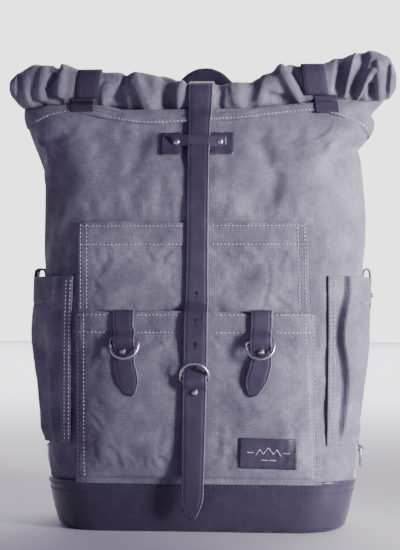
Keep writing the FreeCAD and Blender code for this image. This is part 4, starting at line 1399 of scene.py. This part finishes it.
def make_label(surface):
    """A leather label with a tooled border; its motif is plain lines."""
    label_low, label_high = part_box("label")
    x, z = (label_low.x + label_high.x) / 2, (label_low.z + label_high.z) / 2
    turn = math.radians(-1.5)
    half_w, half_h = 0.0285, 0.0155

    def spot(a, b):
        return (x + a * math.cos(turn) - b * math.sin(turn), z + a * math.sin(turn) + b * math.cos(turn))

    outline = [spot(a, b) for a, b in rectangle(-half_w, half_w, -half_h, half_h)]
    plate = leather_plate("label_leather", outline, surface, 1, 0.0016, leather, corner=0.0018, grid=0.0015)
    finish_soft(plate, "label", slot="leather")
    face = Surface(plate)
    stitches = Stitching()
    inner = [spot(a, b) for a, b in rectangle(-half_w, half_w, -half_h, half_h, 0.0022)]
    stitch_loop(stitches, inner, face, (0, 1, 0), 0.0026)
    stitches.make("label_stitches").data.materials[0] = dark_thread
    motif = Stitching()
    slope = [(-0.0125, -0.002), (-0.0085, 0.0045), (-0.005, -0.0005)]
    peaks = slope + [(0.0, 0.0065)] + [(-a, b) for a, b in slope[::-1]]
    strokes = list(zip(peaks, peaks[1:]))
    strokes += [((-0.021, 0.001), (-0.0145, 0.001)), ((0.0145, 0.001), (0.021, 0.001))]
    strokes.append(((-0.008, -0.0065), (0.008, -0.0065)))
    for a, b in strokes:
        (ax, az), (bx, bz) = spot(*a), spot(*b)
        motif.along([(ax, 0, az), (bx, 0, bz)], face, (0, 1, 0), pitch=0.05, gap=0.0, thick=0.00045)
    motif.make("label_motif")


# Pockets on the sides

# How each side pocket's bellows lies at each height: where it folds behind its flange, half the fold's width,
# and how far it stands off the bag at the corner and at the side
BELLOWS = {
    1: [
        smooth_through([
            (0.085, 0.0135), (0.108, 0.0130), (0.134, 0.0150), (0.154, 0.0152), (0.174, 0.0118),
            (0.195, 0.0080), (0.223, 0.0120), (0.240, 0.0165), (0.262, 0.0175),
        ]),
        smooth_through([
            (0.085, 0.0010), (0.108, 0.0018), (0.154, 0.0026), (0.195, 0.0034), (0.223, 0.0020),
            (0.245, 0.0008), (0.262, 0.0006),
        ]),
        smooth_through([
            (0.085, 0.0030), (0.110, 0.0072), (0.150, 0.0088), (0.195, 0.0090), (0.240, 0.0070),
            (0.262, 0.0060),
        ]),
        smooth_through([
            (0.085, 0.0008), (0.110, 0.0015), (0.150, 0.0030), (0.200, 0.0046), (0.250, 0.0056),
            (0.262, 0.0054),
        ]),
    ],
    -1: [
        smooth_through([(0.085, 0.0110), (0.130, 0.0150), (0.180, 0.0135), (0.262, 0.0120)]),
        smooth_through([(0.085, 0.0008), (0.130, 0.0016), (0.180, 0.0012), (0.262, 0.0006)]),
        smooth_through([(0.085, 0.0026), (0.110, 0.0040), (0.150, 0.0048), (0.200, 0.0050), (0.262, 0.0046)]),
        smooth_through([(0.085, 0.0045), (0.110, 0.0060), (0.150, 0.0082), (0.200, 0.0112), (0.262, 0.0108)]),
    ],
}
# How far each flange's front edge slants, from its top to its bottom
SLANT = {1: 0.0045, -1: -0.0050}


def side_u(side, share):
    """The way round the bag at a share of a side pocket, from its front edge to its back edge."""
    front = {1: 0.650, -1: 0.3525}[side]
    back = {1: 0.850, -1: 0.150}[side]
    return front + (back - front) * share


def side_width(side):
    """How far a side pocket reaches round the bag."""
    return abs(side_u(side, 1.0) - side_u(side, 0.0)) * PERIMETER


def make_side_pocket(name):
    """A bellows pocket: a stitched flange, a deep fold and a full face that stands off the bag."""
    side = SIDES[name]
    pocket_low, pocket_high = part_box("side_pocket_" + name)
    bottom, top = pocket_low.z, pocket_high.z - 0.0005
    columns, rows = 118, 92
    share, up = np.meshgrid(np.linspace(0, 1, columns), np.linspace(0, 1, rows))
    share, up = share.ravel(), up.ravel()
    z = bottom + (top - bottom) * up
    # the flange's front edge slants a little
    slant = SLANT[side] * (1 - up) * (1 - ease(share, 0.0, 0.5))
    u = side_u(side, share)
    points = shell_points(u, z)
    normals = shell_normals(u, z)
    points[:, 0] += slant
    width = side_width(side)
    from_front = share * width
    from_back = (1 - share) * width
    from_top = top - z
    fold_line, fold_half, corner_full, side_full = [curve(z) for curve in BELLOWS[side]]
    # the right pocket folds sharply behind its flange, the left one rises gently
    rise = {1: 0.0036, -1: 0.0130}[side]
    past = ease(from_front, fold_line + fold_half * 0.4, fold_line + fold_half * 0.4 + rise)
    flange = 0.0020 * (1 - ease(from_front, fold_line - fold_half - 0.0016, fold_line - fold_half))
    full = corner_full + (side_full - corner_full) * ease(from_front, 0.028, 0.062)
    back_drop = 1 - ease(0.016 - from_back, 0.0, 0.005)
    lift = 0.0004 + flange * (1 - past) + full * past * back_drop + 0.0018 * (1 - back_drop)
    # the bottom is sewn flat and gathers above it
    lift *= 0.28 + 0.72 * ease(z - bottom, 0.0, 0.016)
    lift += 0.0011 * np.sin(from_front * 300) * near(z - bottom, 0.010, 0.008) * past
    lift += 0.0006 * (1 - ease(from_top, 0.0266, 0.0280)) * past
    lift -= 0.0006 * near(from_top, 0.0275, 0.0012) * past
    spots = points * np.array([1, 1, 0.45])
    uneven = 0.0022 * cloudy(spots, 26.0, 21.0 + side) + 0.0009 * cloudy(spots, 60.0, 5.0)
    lift += uneven * past * ease(from_top, 0.0, 0.03)
    # long soft folds down its face
    long_folds = [(0.036, -0.0022, 0.0060), (0.052, 0.0016, 0.0070)]
    long_folds += [(0.068, -0.0024, 0.0055), (0.090, 0.0014, 0.0080)]
    for place, height, spread in long_folds:
        lean = place + 0.010 * (z - 0.17) / 0.17
        lift += height * near(from_front, lean, spread) * ease(from_top, 0.02, 0.07) * past
    points = points + normals * lift[:, None]
    # the mouth droops between its corners
    points[:, 2] -= 0.0022 * np.sin(math.pi * share) ** 2 * up**6
    weave = np.stack([side * from_front + side * 0.3, z], axis=1)
    faces = grid_faces(rows, columns)
    if side < 0:
        faces = [face[::-1] for face in faces]
    piece = mesh_object("side_pocket_canvas_" + name, points, faces, [canvas], weave)
    hold = np.maximum.reduce([
        1 - ease(from_front, 0.020, 0.026), 1 - ease(from_back, 0.014, 0.020),
        1 - ease(z - bottom, 0.006, 0.02), 1 - ease(from_top, 0.026, 0.034),
    ])
    relax_cloth(piece, hold, 0.5, 0.012, 0.0022, frames=10)
    thicken(piece, 0.0016)
    subdivide(piece)
    finish_soft(piece, "side_pocket_" + name)
    return piece


def stitch_side_pocket(stitches, name, surface):
    side = SIDES[name]
    heights = np.linspace(0.092, 0.254, 24)
    rows_in = (0.0024, 0.0072)
    for place in rows_in:
        line = []
        for z in heights:
            point = shell_points(np.array([side_u(side, place / side_width(side))]), np.array([z]))[0]
            point[0] += SLANT[side] * (0.258 - z) / 0.17
            line.append(point)
        stitches.along(line, surface, inward)
    hem = np.array([0.2300])
    line = [shell_points(np.array([side_u(side, share)]), hem)[0] for share in np.linspace(0.22, 0.97, 30)]
    stitches.along(line, surface, inward)


def make_side_tab(name):
    """The tab that folds over a side pocket's mouth onto its stud."""
    side = SIDES[name]
    tab_low, tab_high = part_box("side_tab_" + name)
    anchor_low, anchor_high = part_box("side_tab_anchor_" + name)
    outer = (tab_low.x + tab_high.x) / 2
    inner = (anchor_low.x if side > 0 else anchor_high.x) + side * 0.0011
    y = (tab_low.y + tab_high.y) / 2
    line = [(inner, y, anchor_low.z), (inner, y, 0.2585), (inner + side * 0.0010, y, 0.2625)]
    line += [((inner + outer) / 2, y, anchor_high.z - 0.0011), (outer - side * 0.0010, y, 0.2626)]
    line += [(outer, y, 0.2590), (outer, y, 0.2450), (outer, y, tab_low.z)]
    line = resample(line, 0.0012)
    left = line_lengths(line)[-1] - line_lengths(line)
    widths = 0.011 * (0.45 + 0.55 * ease(left, -0.003, 0.013)) * rounded_tip(left, 0.003)
    across = steady((0, side, 0), len(line))
    piece = strap_mesh("side_tab_leather_" + name, line, across, widths, 0.0021, [leather, leather_edge])
    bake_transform(piece)
    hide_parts("side_tab_" + name, "side_tab_anchor_" + name)


def make_side_loop(name):
    """The small leather loop above the base that holds a side ring."""
    side = SIDES[name]
    node = "side_loop_" + name
    loop_low, loop_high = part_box(node)
    ring_low, ring_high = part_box("side_ring_" + name)
    bar_x = (ring_low.x + ring_high.x) / 2
    bar_z = ring_high.z - BAR_INSET
    wall = (loop_low.x if side > 0 else loop_high.x) + side * 0.0008
    line = [(wall, 0, loop_high.z), (wall, 0, bar_z + 0.003)]
    bend = 0.0023
    for angle in range(150, -121, -30):
        turn = math.radians(angle)
        line.append((bar_x + side * bend * math.cos(turn), 0, bar_z + bend * math.sin(turn)))
    line.append((wall, 0, bar_z - 0.0030))
    line = resample(line, 0.0007)
    dyed = [leather, leather_edge]
    piece = even_strap(node + "_leather", line, (0, side, 0), 0.0088, 0.0013, dyed, crease=False)
    finish_soft(piece, node, slot="leather")


# The back

def back_plate(name, node, outline, surface, thickness, material, corner):
    plate = leather_plate(name, outline, surface, -1, thickness, material, corner=corner, grid=0.0025)
    return finish_soft(plate, node, slot="leather")


def make_back_pad(surface):
    """The padded back: spacer mesh quilted in channels."""
    pad_low, pad_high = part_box("back_pad")
    columns, rows = 96, 96
    a, b = np.meshgrid(np.linspace(-1, 1, columns), np.linspace(-1, 1, rows))
    a, b = a.ravel(), b.ravel()
    half_w, half_h = (pad_high.x - pad_low.x) / 2, (pad_high.z - pad_low.z) / 2
    centre_z = (pad_high.z + pad_low.z) / 2
    # a square grid drawn onto a square with round corners
    power = 7.0
    reach = np.maximum(np.abs(a), np.abs(b))
    length = (np.abs(a) ** power + np.abs(b) ** power) ** (1 / power)
    pull = np.where(length > 0, reach / np.maximum(length, 1e-9), 1.0)
    x, z = a * pull * half_w, centre_z + b * pull * half_h
    edge = (1 - reach) * min(half_w, half_h)
    rise = 0.0098 * (1 - np.exp(-edge / 0.0045))
    channel = 0.0045
    for line_x in (-0.042, 0.042):
        rise -= 0.0055 * near(x, line_x, channel) * ease(edge, 0.006, 0.02)
    for line_z in (0.155, 0.217, 0.279):
        slope = line_z + 0.010 * np.abs(x) / half_w
        rise -= 0.0050 * near(z, slope, channel) * ease(edge, 0.006, 0.02)
    wall = []
    flat_back = 0.0752
    for px, pz in zip(x, z):
        found = surface.hit((px, 0.4, pz), (0, -1, 0))
        wall.append(found[0].y if found else flat_back)
    spots = np.stack([x, z, 0 * x], axis=1)
    rise += 0.0007 * cloudy(spots, 55.0, 2.0) * ease(edge, 0.0, 0.01)
    y = np.maximum(np.array(wall) + rise, flat_back + rise * 0.98)
    points = np.stack([x, y, z], axis=1)
    faces = [face[::-1] for face in grid_faces(rows, columns)]
    piece = mesh_object("back_pad_mesh", points, faces, [mesh_fabric], np.stack([x, z], axis=1))
    hold = np.clip(1 - ease(edge, 0.002, 0.012), 0, 1)
    relax_cloth(piece, hold, 0.4, 0.006, 0.0015, frames=8)
    subdivide(piece)
    finish_soft(piece, "back_pad", slot="padding")
    border = []
    for k in range(160):
        angle = 2 * math.pi * k / 160
        ca, sa = math.cos(angle), math.sin(angle)
        size = (abs(ca) ** power + abs(sa) ** power) ** (-1 / power)
        px, pz = half_w * size * ca * 0.995, centre_z + half_h * size * sa * 0.995
        found = surface.hit((px, 0.4, pz), (0, -1, 0))
        border.append((px, (found[0].y if found else 0.0752) + 0.0012, pz))
    piping = tube("back_pad_piping", border, [0.0020] * len(border), [webbing], sides=8, closed=True)
    finish_soft(piping, slot="webbing")


def make_yoke(surface):
    outline = [(-0.062, 0.3475), (0.062, 0.3475), (0.052, 0.3915), (-0.052, 0.3915)]
    return back_plate("back_yoke_leather", "back_yoke", outline, surface, 0.0022, leather, 0.006)


def make_handle():
    """The rolled carry handle: a full grip, flat eyes at its feet and a sewn seam underneath."""
    handle_low, handle_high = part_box("carry_handle")
    centre_x = (handle_low.x + handle_high.x) / 2
    y = (handle_low.y + handle_high.y) / 2
    half = [(0.0490, 0.3925), (0.0490, 0.4000), (0.0485, 0.4200), (0.0410, 0.4445), (0.0250, 0.4655)]
    half.append((0.0085, 0.4780))
    run = [(centre_x - x, y, z) for x, z in half] + [(centre_x, y, 0.4795)]
    run += [(centre_x + x, y, z) for x, z in half[::-1]]
    line = resample(run, 0.0022)
    from_end = np.minimum(line_lengths(line), line_lengths(line)[-1] - line_lengths(line))
    middle = near(line[:, 0], centre_x, 0.021)
    line[:, 2] -= 0.0045 * middle
    radii = 0.0040 + 0.0024 * ease(from_end, 0.006, 0.022)
    upright = 1.0 + 0.72 * middle
    squeeze = np.stack([upright, 0.94 + 0 * upright], axis=1)
    ring = np.sin(line_lengths(line) * 520) * 0.00008
    grip = tube("carry_handle_leather", line, radii + ring, [leather], sides=22, squeeze=squeeze)
    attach(grip, "carry_handle")
    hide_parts("carry_handle")
    stitches = Stitching()
    seam = line[14:-14].copy()
    along = np.gradient(seam, axis=0)
    along /= np.linalg.norm(along, axis=1, keepdims=True)
    side = np.cross(along, steady((0, 1, 0), len(seam)))
    seam -= side * -0.0040
    for y_side in (-1, 1):
        stitches.along([tuple(p) for p in seam], Surface(grip), (0, -y_side, 0), pitch=0.0034, start=0.02)
    stitches.make("carry_handle_stitches", "carry_handle").data.materials[0] = dark_thread


def make_chape(name):
    """A leather chape that holds one foot of the carry handle."""
    node = "handle_end_" + name
    end_low, end_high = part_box(node)
    handle_low, handle_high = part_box("carry_handle")
    x = (end_low.x + end_high.x) / 2
    pivot_y = (handle_low.y + handle_high.y) / 2
    pivot_z = 0.392
    wall = end_low.y + 0.0010
    line = [(x, wall, end_low.z), (x, wall, pivot_z - 0.006)]
    for angle in range(200, -61, -20):
        turn = math.radians(angle)
        line.append((x, pivot_y + 0.0035 * math.cos(turn), pivot_z + 0.0035 * math.sin(turn)))
    line += [(x, wall + 0.0022, pivot_z - 0.0075), (x, wall + 0.0019, end_low.z + 0.004)]
    line = resample(line, 0.0010)
    piece = even_strap(node + "_leather", line, (-1, 0, 0), 0.0079, 0.0018, [leather, leather_edge])
    finish_soft(piece, node, slot="leather")


def shoulder_place(side, x, y, z):
    """From a shoulder strap's own frame, up its length from its foot, to the bag's frame."""
    lean = math.atan2(0.078, 0.292)
    px = x * math.cos(lean) - z * math.sin(lean) + 0.118
    pz = x * math.sin(lean) + z * math.cos(lean) + 0.064
    return np.array([side * px, y, pz])


SHOULDER_LENGTH = math.hypot(0.078, 0.292)


def make_shoulder(name):
    """A padded shoulder strap and the webbing below it."""
    side = SIDES[name]
    body = "shoulder_" + name
    top = SHOULDER_LENGTH
    run = [(0.0818, top + 0.002), (0.0896, top - 0.004), (0.1006, top - 0.018), (0.1160, top - 0.045),
           (0.1255, top - 0.084), (0.1262, top - 0.128), (0.1205, top - 0.168)]
    run = resample(run, 0.0028)
    lengths = line_lengths(run)
    total = lengths[-1]
    shape = [(0, 0.0118), (0.010, 0.0122), (0.026, 0.0165), (0.060, 0.0300), (0.110, 0.0302)]
    shape += [(total - 0.030, 0.0275), (total - 0.010, 0.0195), (total, 0.0150)]
    half_width = smooth_through(shape)(lengths)
    thick = 0.0030 + 0.0022 * ease(lengths, 0.004, 0.03) * ease(total - lengths, 0.0, 0.02)
    along = np.gradient(run, axis=0)
    along /= np.linalg.norm(along, axis=1, keepdims=True)
    around = 40
    points, weave = [], []
    for number, (y, z) in enumerate(run):
        ny, nz = along[number][1], -along[number][0]
        if ny > 0:
            ny, nz = -ny, -nz
        for k in range(around):
            angle = 2 * math.pi * k / around
            c, s = math.cos(angle), math.sin(angle)
            fit = (abs(c) ** 3.2 + abs(s) ** 3.2) ** (-1 / 3.2)
            x = half_width[number] * fit * c
            from_edge = half_width[number] - abs(x)
            puff = 0.55 + 0.45 * min(from_edge / 0.006, 1.0)
            channel = 1 - 0.22 * near(abs(x), 0.0135, 0.0022) * (lengths[number] > 0.04)
            offset = thick[number] * fit * s * puff * channel
            points.append(shoulder_place(side, x, y - ny * offset, z - nz * offset))
            weave.append((x + 0.6, lengths[number]))
    faces = grid_faces(len(run), around, wrap=True)
    indices = [0 if (number % around) < around // 2 else 1 for number in range(len(faces))]
    last = (len(run) - 1) * around
    faces.append(tuple(range(around))[::-1])
    faces.append(tuple(range(last, last + around)))
    indices += [1, 1]
    pad_name = "shoulder_pad_canvas_" + name
    pad = mesh_object(pad_name, points, faces, [canvas, mesh_fabric], np.array(weave), indices)
    fix_normals(pad)
    spots = coordinates(pad)
    moved = spots + np.array([0, 1, 0]) * (0.0008 * cloudy(spots, 38.0, 6.0))[:, None]
    pad.data.vertices.foreach_set("co", moved.ravel())
    subdivide(pad)
    finish_soft(pad, "shoulder_pad_" + name, body=body, slot="padding")
    outer = Surface(pad)
    stitches = Stitching()
    for x_sign in (-1, 1):
        row = []
        for k in range(4, len(run) - 3):
            row.append(tuple(shoulder_place(side, x_sign * (half_width[k] - 0.0040), 0.13, run[k][1])))
        stitches.along(row, outer, (0, -1, 0), start=0.1)
    # a strip of webbing runs down the middle of the pad
    strip = []
    for k in range(0, len(run)):
        px, py, pz = shoulder_place(side, 0, run[k][0], run[k][1])
        found = outer.hit((px, 0.3, pz), (0, -1, 0))
        strip.append((px, found[0].y + 0.0009 if found else py + 0.006, pz))
    strip = resample(strip, 0.003)
    across = shoulder_place(side, 1, 0, 0) - shoulder_place(side, 0, 0, 0)
    tape = [webbing, webbing]
    ribbon = even_strap("shoulder_strip_" + name, strip, -across, 0.0100, 0.0014, tape, crease=False)
    finish_soft(ribbon, body=body, slot="webbing")
    for x_side in (-1, 1):
        row = [tuple(np.array(p) + across * x_side * 0.0085) for p in strip[3:-3]]
        stitches.along(row, Surface(ribbon), (0, -1, 0), start=0.05)
    stitches.make("shoulder_stitches_" + name, body).data.materials[0] = dark_thread
    # straight where the slide runs
    lower = [(0.1200, top - 0.158), (0.1190, top - 0.1706)]
    for share in np.linspace(0, 1, 9):
        lower.append((0.1160 - 0.0270 * share, (top - 0.185) * (1 - share) + 0.0065 * share))
    lower.append((0.0880, 0.0030))
    line = resample([tuple(shoulder_place(side, 0, y, z)) for y, z in lower], 0.003)
    tape_name = "shoulder_webbing_tape_" + name
    lower_tape = even_strap(tape_name, line, -across, 0.0124, 0.0018, tape, crease=False)
    finish_soft(lower_tape, "shoulder_webbing_" + name, body=body, slot="webbing")


def fix_normals(piece):
    """Turn every face outward."""
    mesh = bmesh.new()
    mesh.from_mesh(piece.data)
    bmesh.ops.recalc_face_normals(mesh, faces=mesh.faces)
    mesh.to_mesh(piece.data)
    mesh.free()


def make_strap_anchor(name, surface):
    """The leather corner that takes a shoulder strap's lower end."""
    side = SIDES[name]
    outline = [(0.096, 0.054), (0.124, 0.054), (0.126, 0.070), (0.104, 0.084)]
    if side < 0:
        outline = [(-x, z) for x, z in (outline[1], outline[0], outline[3], outline[2])]
    node = "strap_anchor_" + name
    back_plate(node + "_leather", node, outline, surface, 0.0022, leather, 0.003)
    profile = [(0.0, 0.0128), (0.0030, 0.0126), (0.0040, 0.0116), (0.0040, 0.0), (0.0052, -0.0012)]
    points = []
    count = 24
    for radius, height in profile:
        for k in range(count):
            angle = 2 * math.pi * k / count
            x, z = side * 0.118 + radius * math.cos(angle), 0.064 + radius * math.sin(angle)
            points.append((x, 0.0745 + height * 0.93, z))
    faces = grid_faces(len(profile), count, wrap=True)
    boss = mesh_object(node + "_button", points, faces, [leather])
    fix_normals(boss)
    finish_soft(boss, slot="leather")


# Rows of stitches

def upright_row(x_at, z0, z1, count=16):
    return [(float(x_at(z)), 0.0, z) for z in np.linspace(z0, z1, count)]


def stitch_front(surface):
    rows = Stitching()
    front = (0, 1, 0)

    def across(z_at, x0, x1, skip=()):
        xs = np.linspace(x0, x1, 40)
        run = []
        for x in xs:
            if any(a < x < b for a, b in skip):
                if len(run) > 1:
                    rows.along(run, surface, front)
                run = []
            else:
                run.append((x, 0.0, float(z_at(x))))
        if len(run) > 1:
            rows.along(run, surface, front)

    strap_gap = (-0.0135, 0.0115)
    tabs = [(-0.0855, -0.0615), (0.0520, 0.0760)]
    upper = UPPER_TOP
    across(lambda x: upper - 0.0050 - 0.006 * (x + 0.12) * 0.05, -0.119, 0.106, [strap_gap])
    across(lambda x: upper - 0.0235 - 0.006 * (x + 0.12) * 0.05, -0.119, 0.106, [strap_gap])
    lower = LOWER_TOP
    across(lambda x: lower - 0.0015, -0.121, 0.113, [strap_gap] + tabs)
    across(lambda x: lower - 0.0190, -0.121, 0.113, [strap_gap] + tabs)
    upper_run, lower_run = (0.224, upper - 0.002), (0.056, lower - 0.001)
    for place in (0.0030, 0.0095):
        for x_at, run in (
            (lambda z: 0.1150 - 0.0062 * (z - 0.056) / 0.255 - place, upper_run),
            (lambda z: -0.1218 + 0.0006 + place, upper_run),
            (lambda z: 0.1235 - 0.0068 * (z - 0.049) / 0.171 - place, lower_run),
            (lambda z: -0.1238 + place, lower_run),
        ):
            rows.along(upright_row(x_at, *run), surface, front)
    rows.make("front_pocket_stitches")


def stitch_collar(surface):
    rows = Stitching()
    xs = np.linspace(-0.172, 0.170, 90)
    rows.along([(x, 0.0, float(seam_height(x)) + 0.0026) for x in xs], surface, (0, 1, 0))
    rows.make("collar_stitches")


def stitch_base(surface):
    rows = Stitching()
    for z in (BASE_TOP - 0.0052, BASE_TOP - 0.0122):
        u = np.linspace(0, 0.999, 260)
        line = [tuple(point) for point in shell_points(u, np.full(260, z))]
        rows.along(line, surface, inward)
    rows.make("base_stitches").data.materials[0] = dark_thread


def hardware():
    """Better finishes for the metal nodes that stay as they are."""
    metal = ["closure_stud"]
    for name in ("left", "right"):
        metal += [word + name for word in ("pocket_stud_", "side_stud_", "side_ring_", "strap_slider_")]
    for node in metal:
        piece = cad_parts[node]
        piece.data.materials.clear()
        piece.data.materials.append(nickel)
        piece.data.polygons.foreach_set("use_smooth", [True] * len(piece.data.polygons))
    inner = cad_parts["base_board"]
    inner.data.materials.clear()
    inner.data.materials.append(board)


def main():
    make_camera()
    make_light()
    make_floor()
    body = make_body_canvas()
    collar = make_collar_canvas()
    roll = make_roll()
    roll_end("roll_end_left", ROLL_LEFT, -1)
    roll_end("roll_end_right", ROLL_RIGHT, 1)
    base = make_base()
    upper = make_upper_pocket(Surface(body))
    lower = make_lower_pocket(Surface(body, upper))
    roll_surface = Surface(roll)
    walls = Surface(body, collar, roll)
    for name in BANDS:
        make_band(name, roll_surface)
        make_band_patch(name, walls)
    patch = make_keeper(walls)
    strap = make_closure_strap(Surface(body, collar, roll, upper, patch), roll_surface)
    make_strap_holes(Surface(strap))
    loop = make_keeper_loop(Surface(patch, body), Surface(strap))
    for name in ("left", "right"):
        make_keeper_rivet(name, Surface(loop))
    front = Surface(body, upper, lower)
    for name in ("left", "right"):
        make_pocket_strap(name)
        make_anchor("pocket_anchor_" + name, "pocket_ring_" + name, False)
        make_side_tab(name)
        make_side_loop(name)
        make_chape(name)
        make_shoulder(name)
    make_anchor("closure_anchor", "closure_ring", True)
    make_ring("closure_ring", True, 0.0)
    make_ring("pocket_ring_left", False, math.radians(-7))
    make_ring("pocket_ring_right", False, math.radians(11))
    make_label(Surface(lower))
    sides = Stitching()
    for name in ("left", "right"):
        pocket = make_side_pocket(name)
        stitch_side_pocket(sides, name, Surface(pocket))
    sides.make("side_pocket_stitches")
    shell = Surface(body)
    make_back_pad(shell)
    yoke = make_yoke(shell)
    make_handle()
    for name in ("left", "right"):
        make_strap_anchor(name, Surface(body, base))
    stitch_front(front)
    stitch_collar(Surface(collar))
    stitch_base(Surface(base))
    dark_rows = Stitching()
    yoke_corners = [(-0.059, 0.3505), (0.059, 0.3505), (0.050, 0.3885), (-0.050, 0.3885)]
    stitch_loop(dark_rows, yoke_corners, Surface(yoke), (0, -1, 0))
    patch_corners = rectangle(-0.0391, 0.0349, 0.3788, 0.4022, 0.0022)
    stitch_loop(dark_rows, patch_corners, Surface(patch), (0, 1, 0), 0.0026)
    dark_rows.make("leather_stitches").data.materials[0] = dark_thread
    hardware()


canvas = canvas_material("waxed_canvas", (0.062, 0.054, 0.086), (0.148, 0.139, 0.188), (0.300, 0.290, 0.350))
leather = leather_material("black_leather", (0.030, 0.023, 0.046), (0.062, 0.049, 0.090), 0.40)
base_leather = leather_material(
    "polished_base_leather", (0.030, 0.023, 0.046), (0.050, 0.040, 0.076), 0.25, grain=0.6
)
leather_edge = edge_material()
webbing = webbing_material()
thread = thread_material()
dark_thread = plain_material("dark_thread", (0.060, 0.050, 0.085), 0.7)
# Near-black for the strap holes and slits: painted shade in place of their dark insides.
hole_shade = plain_material("strap_hole_painted_shade", (0.004, 0.003, 0.006), 0.9)
nickel = nickel_material()
board = board_material()
mesh_fabric = mesh_fabric_material()
main()
